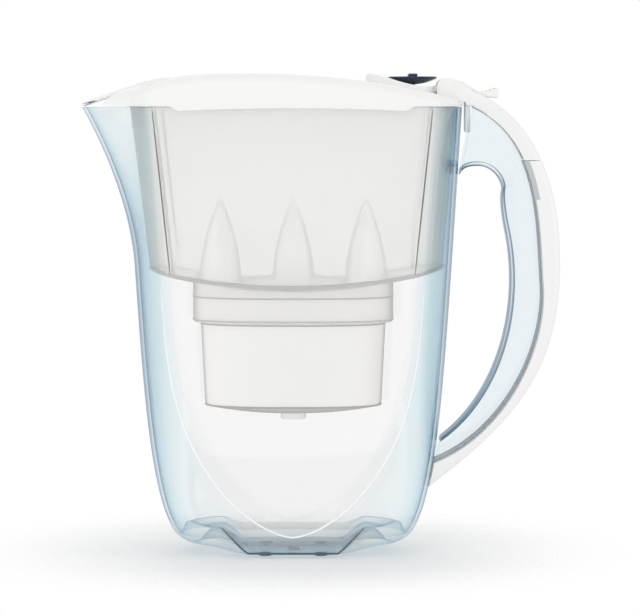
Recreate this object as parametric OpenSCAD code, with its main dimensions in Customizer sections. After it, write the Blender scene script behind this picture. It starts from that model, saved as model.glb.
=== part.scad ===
// Water filter pitcher with a flip lid, a drop-in funnel and a filter cartridge.
// Millimetres, +Z up. The origin is on the table under the middle of the jug.
// The spout points to -X and the handle to +X.

/* [Jug] */
// Height of the rim above the table
rim_z = 249; // [235:0.5:265]
// Half length of the jug at the rim, without the spout
rim_half_len = 94.3; // [88:0.1:100]
// Half depth of the jug at the rim
rim_half_dep = 54; // [50:0.5:60]
// Draw of the two ends from the rim to the base
end_taper = 15.2; // [10:0.1:20]
// Draw of the two broad sides from the rim to the base
side_taper = 7; // [4:0.5:9]
// Extra tuck of the ends at the base
end_tuck = 15.5; // [10:0.5:18]
// Extra tuck of the broad sides at the base
side_tuck = 9; // [5:0.5:11]
// Height over which the tuck fades out
tuck_h = 32; // [26:1:40]
// Radius of the base's outer edge
base_edge_r = 9; // [6:0.5:11]
// Wall of the jug
jug_wall = 2.2; // [1.8:0.1:2.8]
// Floor of the jug
jug_floor = 3; // [2.4:0.1:4]
// Height of the pads under the jug
foot_h = 1.2; // [0.8:0.1:2]
// Radius of each pad
foot_r = 3.5; // [2.5:0.1:5]
// Pads from the middle, along the jug
foot_x = 15.5; // [10:0.5:22]
// Pads from the middle, across the jug
foot_y = 22; // [16:0.5:24]

/* [Spout] */
// Reach of the spout past the end of the rim
spout_reach = 23.6; // [16:0.1:30]
// Height of the spout, down from the rim
spout_drop = 87.8; // [70:0.5:100]
// Half width of the spout where it leaves the end wall
spout_half_w = 36; // [30:0.5:42]

/* [Side panel] */
// Half length of the U-shaped panel at the rim
panel_half = 79.3; // [72:0.1:84]
// Draw of the panel from the rim to where its sides start to curve in
panel_lean = 19; // [14:0.5:24]
// Height where the panel's sides start to curve in
panel_turn_z = 131; // [115:1:150]
// Height of the lowest point of the panel
panel_low_z = 12.2; // [10:0.2:20]
// Crown of the panel along the jug
panel_crown = 4; // [2:0.5:6]
// Softness of the ridge round the panel
ridge_soft = 3; // [1:0.5:6]

/* [Handle] */
// Width of the handle
handle_w = 24; // [21:0.5:28]
// Wall of the handle's core
core_wall = 2.2; // [1.8:0.1:2.6]
// Wall of the handle's cover and of the lid's rear cap
cover_wall = 2; // [1.6:0.1:2.6]
// Thickness of the strip between the core and the cover
seam_t = 0.8; // [0.5:0.1:1.2]
// Height of the split between the cover and the rear cap, down from the rim
split_drop = 29.7; // [26:0.1:34]

/* [Funnel] */
// Wall of the funnel
funnel_wall = 1.8; // [1.4:0.1:2.4]
// Gap between the funnel and the jug at the rim
funnel_gap = 1; // [0.6:0.1:1.4]
// Depth of the funnel's side walls at its ends, down from the rim
funnel_depth = 88; // [78:0.5:96]
// Draw of the end wall at the spout
funnel_draw_front = 11; // [8:0.5:14]
// Draw of the end wall at the handle
funnel_draw_rear = 7; // [5:0.5:10]
// Draw of the broad sides
funnel_draw_side = 6; // [4:0.5:8]
// Flat of the funnel's sides, in from the jug's ridge
funnel_ridge_in = 3; // [2.6:0.1:5]
// Sag of the boat-shaped floor
floor_sag = 12; // [8:0.5:15]
// Thickness of the flange that hangs the funnel on the rim
flange_t = 1.4; // [1:0.1:2]
// Height of the ribbed grips inside the funnel's ends
grip_h = 11; // [8:0.5:15]
// Width of each grip
grip_w = 18; // [12:1:24]
// Thickness of each grip behind its ribs
grip_t = 4.5; // [3:0.5:6]
// Number of ribs on each grip
grip_ribs = 5; // [3:1:7]

/* [Cartridge] */
// Half length of the cartridge's shell at its top
cart_half_len = 51.8; // [49:0.1:53]
// Half depth of the cartridge's shell at its top
cart_half_dep = 32; // [29:0.5:34]
// Draw of the shell from its top to its bottom
cart_draw = 2.4; // [1:0.1:4]
// Height of the shell below the funnel's ledge
cart_drop = 48.5; // [42:0.5:54]
// Crown of the shell's bottom
cart_crown = 5; // [3:0.5:7]
// Wall of the shell
cart_wall = 1.5; // [1.2:0.1:2]
// Width of the flange that rests in the funnel
cart_flange = 2.1; // [1.6:0.1:2.6]
// Ledge of the funnel that carries the cartridge, down from the rim
ledge_drop = 118; // [114:0.5:122]
// Height of the cap above the ledge
cap_h = 17; // [14:0.5:20]
// Height of the dome on the cap
dome_h = 8; // [5:0.5:10]
// Height of the pointed towers above the cap
tower_h = 51; // [44:0.5:54]
// Half width of each tower at its foot
tower_half_w = 12; // [10:0.1:12.4]
// Half depth of each tower at its foot
tower_half_dep = 21; // [16:0.5:24]
// Feet of the outer towers from the ends of the cap
tower_in = 1.1; // [0.6:0.1:4]
// Radius of the round pull pads
pad_r = 8.6; // [7:0.1:10]
// Half length of the outlet screen
outlet_half_len = 30.5; // [24:0.5:36]
// Half depth of the outlet screen
outlet_half_dep = 18; // [14:0.5:22]
// Radius of the nozzle under the cartridge
nozzle_r = 7; // [5:0.5:9]
// Length of the nozzle
nozzle_h = 3.2; // [2:0.2:5]
// Running clearance of the cartridge in the funnel
cart_gap = 0.35; // [0.3:0.05:0.6]

/* [Lid] */
// Crown of the lid above the rim
lid_crown = 18.2; // [15:0.1:21]
// Highest point of the lid along the jug
lid_peak_x = -22; // [-30:1:-14]
// Drop of the lid from its crown to its rear end
lid_rear_drop = 15; // [11:0.5:15.5]
// Drop of the lid's shoulder from its crown towards the spout
lid_front_drop = 10.2; // [7:0.1:11]
// Height of the grey shoulder band
shoulder_h = 4.2; // [3:0.1:5]
// Skin of the lid
lid_skin = 2; // [1.6:0.1:2.6]
// Overhang of the lid past the jug's rim
lid_over = 0.8; // [0.4:0.1:1.5]
// Half depth of the filling opening
fill_half_dep = 34; // [30:0.5:38]
// Filling opening from the end of the rim at the spout
fill_front_in = 32.3; // [28:0.1:38]
// Filling opening from the end of the rim at the handle
fill_rear_in = 14.3; // [13:0.1:16]
// Thickness of the flap
flap_t = 2.2; // [1.8:0.1:2.8]
// Gap round the flap
flap_gap = 0.6; // [0.4:0.1:1]
// Width of the lip under the flap
lip_w = 2.5; // [2:0.1:3.5]
// Half width of the cover over the spout
spout_flap_half_w = 16.6; // [13:0.1:19]
// Height of the spout cover's hinge above the rim
spout_hinge_h = 11.3; // [10:0.1:12]
// Spout cover's hinge from the end of the rim, towards the handle
spout_hinge_in = 11.7; // [10:0.1:14]

/* [Flap hinge] */
// Hinge pin from the end of the rim, towards the spout
hinge_in = 3.6; // [2.5:0.1:5]
// Height of the hinge pin above the rim
hinge_h = 11.8; // [11:0.1:13]
// Radius of the pins
pin_r = 1.6; // [1.2:0.1:2]
// Running clearance on the pins
pin_gap = 0.06; // [0.03:0.01:0.1]
// Half width of the lever between the ears
lever_half_w = 8.2; // [6.5:0.1:8.4]
// Side gap between the lever and the ears
ear_gap = 0.5; // [0.3:0.1:0.8]

/* [Dial] */
// Dial from the hinge pin, towards the spout
dial_in = 24.1; // [22:0.1:25]
// Radius of the dial's bowl
dial_r = 14; // [12:0.1:15]
// Depth of the bowl
dial_depth = 4.5; // [3.5:0.1:5]
// Height of the bowl's flat top above the rim
dial_top_h = 17.1; // [16.5:0.1:18]
// Thickness of the turning disc
disc_t = 1; // [0.8:0.1:1.4]
// Half width of the disc's finger ridge
ridge_half_w = 2.6; // [2:0.1:3.4]
// Height of the disc's finger ridge
ridge_h = 1.5; // [1:0.1:2]
// Clearance round the turning disc
dial_gap = 0.4; // [0.3:0.1:0.8]
// Radius of the rivet
rivet_r = 1.5; // [1.2:0.1:2]
// Radius of the dial's housing
housing_r = 19.5; // [18:0.1:20]
// Middle of the housing from the dial, towards the spout
housing_in = 6.6; // [5:0.1:8]

/* [Hidden] */
EPS = 0.01;
// Steps of a section from an end to the ridge, and from the ridge to the middle
END_STEPS = 8;
MID_STEPS = 7;
QUARTER = END_STEPS + MID_STEPS;
SIDES = 4 * QUARTER;
// Shape of the U line and of the spout's front edge
U_POWER = 2.6;
U_ROUND = 1.6;
SPOUT_POWER = 1.8;
ARC = 64;

// Heights that several pieces share
base_z = foot_h;
seat_gap = 0.2;
flange_z = rim_z + seat_gap;
lid_z = flange_z + flange_t + seat_gap;
ledge_z = rim_z - ledge_drop;
split_z = rim_z - split_drop;
fill_front_x = fill_front_in - rim_half_len;
fill_rear_x = rim_half_len - fill_rear_in;
tower_pitch = cart_half_len + cart_flange - tower_half_w - tower_in;
end_x = rim_half_len;
hinge = [end_x - hinge_in, rim_z + hinge_h];
spout_hinge = [-end_x + spout_hinge_in, rim_z + spout_hinge_h];
dial_x = hinge[0] - dial_in;
dial_top = rim_z + dial_top_h;

// Curves and small helpers
function sq(v) = v * v;
function clamp(v, lo, hi) = max(lo, min(hi, v));
function mix(a, b, f) = a + (b - a) * f;
function ease(v) = let (s = clamp(v, 0, 1)) s * s * (3 - 2 * s);
function soft_min(p, q, k) = let (h = max(k - abs(p - q), 0) / k) min(p, q) - h * h * k / 4;
function bez(p, n) = [for (i = [0:n]) let (t = i / n, s = 1 - t)
    s * s * s * p[0] + 3 * s * s * t * p[1] + 3 * s * t * t * p[2] + t * t * t * p[3]];
function join(a, b) = concat(a, [for (i = [1:len(b) - 1]) b[i]]);
function flip(path) = [for (i = [len(path) - 1:-1:0]) path[i]];
function side_of(path, i) = let (
    d = path[min(i + 1, len(path) - 1)] - path[max(i - 1, 0)]) [-d[1], d[0]] / norm(d);
function shift(path, d) = [for (i = [0:len(path) - 1]) path[i] + d * side_of(path, i)];
function cut_at(p, q, z) = p + (q - p) * (z - p[1]) / (q[1] - p[1]);
function above(path, z) = [for (i = [0:len(path) - 1])
    each path[i][1] >= z ? [path[i]]
        : i > 0 && path[i - 1][1] > z ? [cut_at(path[i - 1], path[i], z)] : []];
function below(path, z) = [for (i = [0:len(path) - 1])
    each path[i][1] > z ? []
        : i > 0 && path[i - 1][1] > z ? [cut_at(path[i - 1], path[i], z), path[i]] : [path[i]]];
function from_rim(pts) = [for (p = pts) [end_x + p[0], rim_z + p[1]]];

// Half length and half depth of the jug at a height
function tuck(z) = exp(-(z - base_z) / tuck_h);
function high(z) = 1 - (z - base_z) / (rim_z - base_z);
function half_len(z) = rim_half_len - end_taper * high(z) - end_tuck * tuck(z);
function half_dep(z) = rim_half_dep - side_taper * high(z) - side_tuck * tuck(z);
function edge_in(z, r) = let (d = clamp(r - (z - base_z), 0, r)) r - sqrt(sq(r) - sq(d));
function spout_out(z) = spout_reach * pow(clamp(1 - (rim_z - z) / spout_drop, 0, 1), SPOUT_POWER);

// Half length of the U-shaped panel at a height
function panel(z) =
    let (r = clamp((panel_turn_z - z) / (panel_turn_z - panel_low_z), 0, 1))
    (panel_half - panel_lean * (1 - z / rim_z)) * pow(1 - pow(r, U_POWER), 1 / U_ROUND);

// One level section: an oval whose broad sides are cut flat inside the ridge
function step_angle(i, ridge) = i <= END_STEPS
    ? ridge * i / END_STEPS : ridge + (90 - ridge) * (i - END_STEPS) / MID_STEPS;
function angle_at(j, ridge) = let (q = floor(j / QUARTER), i = j % QUARTER)
    q % 2 == 0 ? 90 * q + step_angle(i, ridge) : 90 * (q + 1) - step_angle(QUARTER - i, ridge);
function section(len_a, len_b, dep, half_u, out) =
    let (
        u = clamp(half_u, 0, 0.97 * min(len_a, len_b)),
        mean = (len_a + len_b) / 2,
        bulge = (dep - panel_crown * sq(u / mean)) / sqrt(1 - sq(u / mean)),
        ridge = min(acos(u / mean), 78)
    )
    [for (j = [0:SIDES - 1]) let (
        t = angle_at(j, ridge),
        reach = cos(t) < 0 ? len_a : len_b,
        flat = dep - panel_crown * sq(cos(t)),
        y = soft_min(bulge * abs(sin(t)), flat, ridge_soft),
        lip = cos(t) < 0 ? out * sq(max(0, 1 - sq(y / spout_half_w))) : 0
    ) [reach * cos(t) - lip, sign(sin(t)) * y]];
function at_z(ring, z) = [for (p = ring) [p[0], p[1], z]];
function oval(half_x, half_y, n, power) = [for (j = [0:n - 1]) let (t = 360 * j / n)
    [half_x * sign(cos(t)) * pow(abs(cos(t)), 2 / power),
     half_y * sign(sin(t)) * pow(abs(sin(t)), 2 / power)]];

// A closed skin over rings of equal length. The first and last ring are capped,
// or joined to each other when loop is true.
module loft(rings, loop = false) {
    n = len(rings[0]);
    m = len(rings);
    last = loop ? m - 1 : m - 2;
    sides = [for (k = [0:last], j = [0:n - 1])
        let (a = k * n + j, b = k * n + (j + 1) % n, c = ((k + 1) % m) * n + (j + 1) % n,
            d = ((k + 1) % m) * n + j)
        each [[a, b, c], [a, c, d]]];
    low = m * n;
    caps = loop ? [] : [for (j = [0:n - 1])
        each [[low, (j + 1) % n, j], [low + 1, (m - 1) * n + j, (m - 1) * n + (j + 1) % n]]];
    hubs = loop ? [] : [middle(rings[0]), middle(rings[m - 1])];
    polyhedron(points = concat([for (r = rings) each r], hubs),
        faces = [for (f = concat(sides, caps)) [f[2], f[1], f[0]]], convexity = 6);
}
function middle(ring) = [for (i = [0:2])
    (ring[0][i] + ring[round(len(ring) / 4)][i] + ring[round(len(ring) / 2)][i]
        + ring[round(3 * len(ring) / 4)][i]) / 4];

// A flat outline in X and Z, made solid across the jug
module across(pts, width) rotate([90, 0, 0]) linear_extrude(width, center = true) polygon(pts);

// Jug
function jug_ring(z, skin) = let (e = skin + edge_in(z - skin, base_edge_r - skin))
    at_z(section(half_len(z) - e, half_len(z) - e, half_dep(z) - e,
        panel(z) * (1 - e / half_len(z)), spout_out(z)), z);
jug_steps = [0, 1.2, 4, 9, 16, 26, 38, 52, 66, 82, 102, 126, 150];
spout_steps = [0.17, 0.3, 0.44, 0.58, 0.72, 0.86, 1];
function jug_levels() = let (turn = rim_z - spout_drop) concat(
    [for (s = jug_steps) if (base_z + s < turn - 4) base_z + s],
    [turn], [for (s = spout_steps) turn + s * spout_drop]);
module jug_body() {
    floor_z = base_z + jug_floor;
    inner = [for (z = jug_levels()) if (z > floor_z + 4) z];
    outside = [for (z = jug_levels()) jug_ring(z, 0)];
    inside = [for (z = concat([floor_z, floor_z + 2], inner)) jug_ring(z, jug_wall)];
    color("lightsteelblue", 0.5) loft(concat(outside, flip(inside)));
}
module base_feet() {
    spots = concat([[0, 0]], [for (sx = [-1, 1], sy = [-1, 1]) [sx * foot_x, sy * foot_y]]);
    color("slategray") for (p = spots)
        translate([p[0], p[1], 0]) cylinder(h = foot_h, r = foot_r, $fn = ARC);
}

// Handle: its curves run from the rim down, in steps from the end of the rim
core_line = join(
    bez(from_rim([[5.7, -0.7], [44.6, -18.5], [42.1, -66.3], [44.8, -102.5]]), 12),
    bez(from_rim([[44.8, -102.5], [45.5, -140.8], [20.6, -184], [-15.7, -198.1]]), 14));
outer_line = join(
    bez(from_rim([[6.4, 8.5], [41.4, -5.2], [53.9, -45], [54.6, -80.1]]), 14),
    bez(from_rim([[54.6, -80.1], [57.2, -145.8], [31.5, -174.3], [-18.8, -212.8]]), 16));
hole_line = join(join(join(
    bez(from_rim([[-1.4, -37.5], [-0.2, -33.7], [4, -32.7], [7.6, -32.8]]), 6),
    bez(from_rim([[7.6, -32.8], [15.1, -32.1], [22.1, -38.6], [22.7, -45.9]]), 8)),
    bez(from_rim([[22.7, -45.9], [21.4, -49], [22, -58], [24.5, -70]]), 6)),
    bez(from_rim([[24.5, -70], [33, -112], [21, -160], [-11.5, -184.8]]), 14));
wall_bite = 1;
cavity_clear = 2.6;
jug_clear = 0.1;
split_gap = 0.5;
function clear_of_jug(path, c) = [for (p = path) [max(p[0], half_len(p[1]) + c), p[1]]];
function past_jug(path, c) = [for (p = path) if (p[0] > half_len(p[1]) + c) p];
function jug_wall_line(z_hi, z_lo, c, n) = [for (i = [0:n]) let (z = mix(z_hi, z_lo, i / n))
    [half_len(z) + c, z]];
module handle_core() {
    core_end = core_line[len(core_line) - 1];
    hole_end = hole_line[len(hole_line) - 1];
    low = jug_wall_line(core_end[1], hole_end[1], -wall_bite, 3);
    top = jug_wall_line(hole_line[0][1], rim_z, -wall_bite, 3);
    solid = concat(clear_of_jug(core_line, -wall_bite), low,
        flip(clear_of_jug(hole_line, -wall_bite)), top);
    bed = past_jug(shift(hole_line, core_wall), cavity_clear);
    open_side = past_jug(shift(core_line, 2), cavity_clear);
    cavity = concat([[end_x + wall_bite, rim_z + 4]], [[end_x + wall_bite, bed[0][1]]],
        bed, flip(open_side));
    color("lightsteelblue", 0.6) difference() {
        across(solid, handle_w);
        across(cavity, handle_w - 2 * core_wall);
    }
}
module handle_seam() {
    top = split_z - split_gap / 2;
    outer = clear_of_jug(below(shift(core_line, seam_t), top), jug_clear);
    inner = clear_of_jug(below(core_line, top), jug_clear);
    color("gray") across(concat(outer, flip(inner)), handle_w);
}
module handle_cover() {
    top = split_z - split_gap / 2;
    skin = clear_of_jug(below(outer_line, top), jug_clear);
    face = clear_of_jug(below(shift(core_line, seam_t), top), jug_clear);
    hollow = past_jug(below(shift(outer_line, -cover_wall), top - cover_wall), cavity_clear);
    mouth = past_jug(below(shift(core_line, seam_t - 1), top - cover_wall), cavity_clear);
    color("white") difference() {
        across(concat(skin, flip(face)), handle_w);
        across(concat(hollow, flip(mouth)), handle_w - 2 * cover_wall);
    }
}

// Funnel: its floor hangs lower in the middle than at its ends
funnel_top_len = rim_half_len - jug_wall - funnel_gap;
funnel_top_dep = rim_half_dep - jug_wall - funnel_gap;
function funnel_outline(s, skin) = section(
    funnel_top_len - funnel_draw_front * s - skin, funnel_top_len - funnel_draw_rear * s - skin,
    funnel_top_dep - funnel_draw_side * s - skin,
    panel(rim_z - s * funnel_depth) - funnel_ridge_in * (1 + s) - skin, 0);
function floor_z_at(x) = rim_z - funnel_depth - floor_sag * (1 - sq(x / funnel_top_len));
well_len = cart_half_len + cart_flange + cart_gap;
well_dep = cart_half_dep + cart_flange + cart_gap;
function well_outline(grow) = [for (j = [0:SIDES - 1]) let (
    t = angle_at(j, 45), p = 2 / 2.6)
    [(well_len + grow) * sign(cos(t)) * pow(abs(cos(t)), p),
     (well_dep + grow) * sign(sin(t)) * pow(abs(sin(t)), p)]];
function wall_ring(s, skin) = [for (p = funnel_outline(s, skin))
    [p[0], p[1], mix(rim_z, floor_z_at(p[0]) + skin, s)]];
function floor_ring(f, skin) = let (a = funnel_outline(1, skin), b = well_outline(funnel_wall - skin))
    [for (j = [0:SIDES - 1]) let (x = mix(a[j][0], b[j][0], f), y = mix(a[j][1], b[j][1], f))
        [x, y, floor_z_at(x) - 1.5 * f + skin]];
function flange_outline() = section(rim_half_len - 1.2, rim_half_len - 1.2, rim_half_dep - 1.2,
    panel_half - 1, 0);
module funnel() {
    outside = [for (s = [0, 0.25, 0.5, 0.75, 0.95]) wall_ring(s, 0)];
    bottom = [for (f = [0.04, 0.5, 1]) floor_ring(f, 0)];
    collar = [for (h = [0, 0.6]) at_z(well_outline(funnel_wall - h), ledge_z - 1.6 + 0.6 - h)];
    hole = [at_z(well_outline(-cart_flange), ledge_z - 1.6), at_z(well_outline(-cart_flange), ledge_z)];
    well = [at_z(well_outline(0), ledge_z)];
    inner_floor = [for (f = [1, 0.5, 0.04]) floor_ring(f, funnel_wall)];
    inside = [for (s = [0.95, 0.75, 0.5, 0.25, 0]) wall_ring(s, funnel_wall)];
    flange = [
        at_z(funnel_outline(0, funnel_wall), flange_z + flange_t),
        at_z(flange_outline(), flange_z + flange_t),
        at_z(flange_outline(), flange_z),
        at_z(funnel_outline(0, 0), flange_z)
    ];
    color("gainsboro", 0.7) loft(flip(concat(outside, bottom, collar, hole, well, inner_floor,
        inside, flange)), loop = true);
}
module funnel_grips() {
    rib = grip_w / (2 * grip_ribs - 1);
    face = funnel_top_len - funnel_wall;
    bite = 0.5;
    color("whitesmoke") for (side = [0, 1]) mirror([side, 0, 0])
        translate([face - grip_t, -grip_w / 2, rim_z - 1 - grip_h]) {
            cube([grip_t + bite, grip_w, grip_h]);
            for (i = [0:grip_ribs - 1]) translate([-1, 2 * i * rib, 0]) cube([1 + bite, rib, grip_h]);
        }
}
module well_seal() {
    color("gray") loft([
        at_z(well_outline(-cart_flange + 0.2), ledge_z),
        at_z(well_outline(-cart_gap), ledge_z),
        at_z(well_outline(-cart_gap), ledge_z + 1),
        at_z(well_outline(-cart_flange + 0.2), ledge_z + 1)
    ], loop = true);
}

// Cartridge
seal_top = ledge_z + 1 + seat_gap;
shell_bottom = ledge_z - cart_drop;
function cart_oval(grow, drop) = oval(cart_half_len + grow - cart_draw * drop,
    cart_half_dep + grow - cart_draw * drop, 48, 2.6);
function cart_ring(grow, s) = at_z(cart_oval(grow, s), mix(ledge_z - 1, shell_bottom, s));
function crowned(grow, f, up) = [for (p = cart_oval(grow, 1))
    [p[0] * f, p[1] * f, shell_bottom - cart_crown * (1 - f * f) + up]];
module cartridge_shell() {
    outside = concat(
        [at_z(cart_oval(cart_flange, 0), seal_top + 2), at_z(cart_oval(cart_flange, 0), seal_top),
         at_z(cart_oval(0, 0), seal_top)],
        [for (s = [0, 0.5, 0.95]) cart_ring(0, s)],
        [for (f = [0.97, 0.7, 0.35]) crowned(0, f, 0)]);
    inside = concat(
        [for (f = [0.35, 0.7, 0.96]) crowned(-cart_wall, f, cart_wall)],
        [for (s = [0.9, 0.5, 0]) cart_ring(-cart_wall, s)],
        [at_z(cart_oval(-cart_wall, 0), seal_top + 2)]);
    color("seashell") loft(concat(flip(outside), flip(inside)));
}
cap_z = seal_top + 2 + seat_gap;
cap_top = ledge_z + cap_h;
function cap_oval(skin) =
    oval(cart_half_len + cart_flange - skin, cart_half_dep + cart_flange - skin, 48, 2.6);
function dome(f, skin) = [for (p = cap_oval(0.6 + skin))
    [p[0] * f, p[1] * f, cap_top - skin + dome_h * sq(1 - f * f)]];
module cartridge_cap() {
    outside = concat([at_z(cap_oval(0), cap_z), at_z(cap_oval(0), cap_top - 3)],
        [for (f = [1, 0.85, 0.6, 0.3]) dome(f, 0)]);
    inside = concat([at_z(cap_oval(cart_wall), cap_z)], [for (f = [1, 0.85, 0.6, 0.3]) dome(f, cart_wall)]);
    color("whitesmoke") loft(concat(flip(inside), outside));
}
function tower_ring(s, skin) = at_z(
    oval(tower_half_w * (1 - s * s) - skin, tower_half_dep * (1 - s * s) - skin, 24, 2),
    cap_top - 1 + s * (tower_h + 1) - skin / 2);
module cartridge_towers() {
    outside = [for (s = [0, 0.2, 0.4, 0.58, 0.74, 0.87, 0.97]) tower_ring(s, 0)];
    inside = [for (s = [0.85, 0.74, 0.58, 0.4, 0.2]) tower_ring(s, cart_wall)];
    base = at_z(oval(tower_half_w - cart_wall, tower_half_dep - cart_wall, 24, 2), cap_top - 1);
    color("gainsboro") for (i = [-1:1]) translate([i * tower_pitch, 0, 0])
        loft(concat(inside, [base], outside));
}
module pull_pads() {
    color("lightgray") for (side = [-1, 1])
        translate([0, side * (tower_half_dep + 1), cap_top + 3.5]) rotate([90, 0, 0])
            cylinder(h = 6, r = pad_r, center = true, $fn = ARC);
}
module inlet_screen() {
    color("silver") loft([for (h = [-1, -0.3]) at_z(cart_oval(-cart_wall - 0.3, 0), cap_z - seat_gap + h)]);
}
module filter_bed() {
    color("dimgray") loft([
        crowned(-cart_wall - 0.4, 0.94, cart_wall + 2.6),
        cart_ring(-cart_wall - 0.4, 0.85), cart_ring(-cart_wall - 0.4, 0.5), cart_ring(-cart_wall - 0.4, 0),
        at_z(cart_oval(-cart_wall - 0.4, 0), seal_top + 0.6)]);
}
module outlet_screen() {
    base = shell_bottom - cart_crown * 0.6 + cart_wall;
    color("darkgray") loft([for (h = [0.3, 0.9])
        at_z(oval(outlet_half_len, outlet_half_dep, 48, 2), base + h)]);
}
nozzle_root = 1.6;
module outlet_nozzle() {
    tip = shell_bottom - cart_crown - nozzle_h;
    color("whitesmoke") translate([0, 0, tip]) difference() {
        cylinder(h = nozzle_h + nozzle_root, r = nozzle_r, $fn = ARC);
        translate([0, 0, -EPS]) cylinder(h = nozzle_h, r = nozzle_r - 2, $fn = ARC);
    }
}

// Lid: its shoulder follows an arch, and its top runs down to the spout in front
rear_run = rim_half_len + lid_over - lid_peak_x;
front_run = rim_half_len - 5.3 + lid_peak_x;
spout_tip = rim_half_len + spout_reach;
function arch(x) = x > lid_peak_x
    ? lid_crown - lid_rear_drop * sq((x - lid_peak_x) / rear_run)
    : lid_crown - lid_front_drop * pow((lid_peak_x - x) / front_run, 3.5);
function spout_top(x) = 1.9 + (x + spout_tip) * (spout_hinge_h + 0.6) / (spout_tip + spout_hinge[0]);
function lid_top(x, y) =
    let (f = ease((-60 - x) / 20) * (1 - ease((abs(y) - 16) / 18)))
    max(mix(arch(max(x, -end_x)), spout_top(x), f), 3.3);
function lid_outline() = section(rim_half_len + lid_over, rim_half_len + lid_over,
    rim_half_dep + lid_over, panel_half, spout_reach);
function fill_outline(grow) = [for (j = [0:SIDES - 1]) let (
    t = angle_at(j, 33), p = 2 / 3.4, mid = (fill_front_x + fill_rear_x) / 2,
    half = (fill_rear_x - fill_front_x) / 2)
    [mid + (half + grow) * sign(cos(t)) * pow(abs(cos(t)), p),
     (fill_half_dep + grow) * sign(sin(t)) * pow(abs(sin(t)), p)]];
function flap_face(x) = arch(x) - 0.8;
function flap_under(x) = flap_face(x) - flap_t;
// One ring of the lid: a share of the way from the outline in, and how its height is set
function lid_ring(f, rise) = let (a = lid_outline(), b = fill_outline(0))
    [for (j = [0:SIDES - 1]) let (x = mix(a[j][0], b[j][0], f), y = mix(a[j][1], b[j][1], f))
        [x, y, rim_z + max(lid_top(x, y) + rise, lid_z - rim_z + 0.2)]];
function lip_ring(grow, down) = [for (p = fill_outline(grow))
    [p[0], p[1], rim_z + flap_under(p[0]) - 0.3 - down]];
function lid_low(f, z) = let (a = lid_outline(), b = fill_outline(0))
    [for (j = [0:SIDES - 1]) [mix(a[j][0], b[j][0], f), mix(a[j][1], b[j][1], f), z]];
module lid_frame() {
    slot = spout_flap_half_w + 0.4;
    color("white") difference() {
        loft(concat(
            [lid_low(0, rim_z + 0.4), lid_ring(0.01, -shoulder_h),
             lid_ring(0.14, -1.2), lid_ring(0.32, 0), lid_ring(0.98, -0.8),
             lip_ring(0, 0), lip_ring(-lip_w, 0), lip_ring(-lip_w, 1.5), lip_ring(1.5, 1.5)],
            [lid_ring(0.32, -lid_skin), lid_ring(0.14, -1.2 - lid_skin),
             lid_low(0.08, lid_z), lid_low(0.035, lid_z), lid_low(0.035, rim_z + 0.4)]
        ), loop = true);
        translate([-spout_tip - 10, -slot, rim_z - 10])
            cube([spout_tip + 10 + spout_hinge[0] + 3.2, 2 * slot, 60]);
        translate([end_x - 1.5, -slot_half_w, rim_z - 10]) cube([10, 2 * slot_half_w, 60]);
    }
}
module spout_bearings() {
    slot = spout_flap_half_w + 0.4;
    color("white") for (side = [-1, 1]) difference() {
        translate([spout_hinge[0] - 3, side * (slot + 1.5) - 1.5, lid_z + 0.1])
            cube([6, 3, spout_hinge[1] - lid_z + 1.6]);
        translate([spout_hinge[0], 0, spout_hinge[1]]) rotate([90, 0, 0])
            cylinder(h = 60, r = pin_r - 0.4, center = true, $fn = ARC);
    }
}
module spout_pin() {
    color("silver") translate([spout_hinge[0], 0, spout_hinge[1]]) rotate([90, 0, 0])
        cylinder(h = 2 * spout_flap_half_w + 6, r = pin_r - 0.4, center = true, $fn = ARC);
}
module spout_cover() {
    top = [[spout_hinge[0], spout_hinge[1] + 2.4], [-spout_tip - 0.4, rim_z + 1.9],
        [-spout_tip - 0.4, rim_z + 0.5], [-spout_tip + 3, rim_z + 0.5],
        [spout_hinge[0], spout_hinge[1] - 0.6]];
    color("white") difference() {
        union() {
            intersection() {
                across(top, 2 * spout_flap_half_w);
                translate([0, 0, rim_z - 5]) linear_extrude(40) polygon(lid_outline());
            }
            translate([spout_hinge[0], 0, spout_hinge[1]]) rotate([90, 0, 0])
                cylinder(h = 2 * spout_flap_half_w, r = 2.4, center = true, $fn = ARC);
        }
        translate([spout_hinge[0], 0, spout_hinge[1]]) rotate([90, 0, 0])
            cylinder(h = 60, r = pin_r - 0.4 + pin_gap, center = true, $fn = ARC);
    }
}

// Rear cap: the lid's tail over the top of the handle, with the hinge's ears
slot_half_w = lever_half_w + ear_gap;
tongue_t = 0.8;
tongue_h = 14;
module rear_cap() {
    skin = above(outer_line, split_z + 0.25);
    face = above(shift(core_line, 0.5), split_z + 0.25);
    nose = from_rim([[-14.3, 2.6], [-14.3, 13.6], [-11.6, 16], [-6, 15.8], [0, 13.2]]);
    foot = from_rim([[6, 0.5], [2, 0.5], [1.4, 2.6]]);
    hollow = below(above(shift(outer_line, -cover_wall), split_z - 1), rim_z - 14);
    mouth = below(above(shift(core_line, -2), split_z - 1), rim_z - 14);
    color("white") difference() {
        across(concat(nose, skin, flip(face), foot), handle_w);
        across(concat(hollow, flip(mouth)), handle_w - 2 * cover_wall);
        translate([end_x - 20, -slot_half_w, rim_z - 13]) cube([42, 2 * slot_half_w, 40]);
        translate([hinge[0], 0, hinge[1]]) rotate([90, 0, 0])
            cylinder(h = 60, r = pin_r, center = true, $fn = ARC);
    }
    color("white") for (side = [0, 1]) mirror([0, side, 0])
        translate([end_x + 1.5, slot_half_w, rim_z - tongue_h]) cube([2.6, tongue_t, tongue_h + 1]);
}
module flap_pin() {
    color("whitesmoke") translate([hinge[0], 0, hinge[1]]) rotate([90, 0, 0])
        cylinder(h = handle_w, r = pin_r, center = true, $fn = ARC);
}

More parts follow.
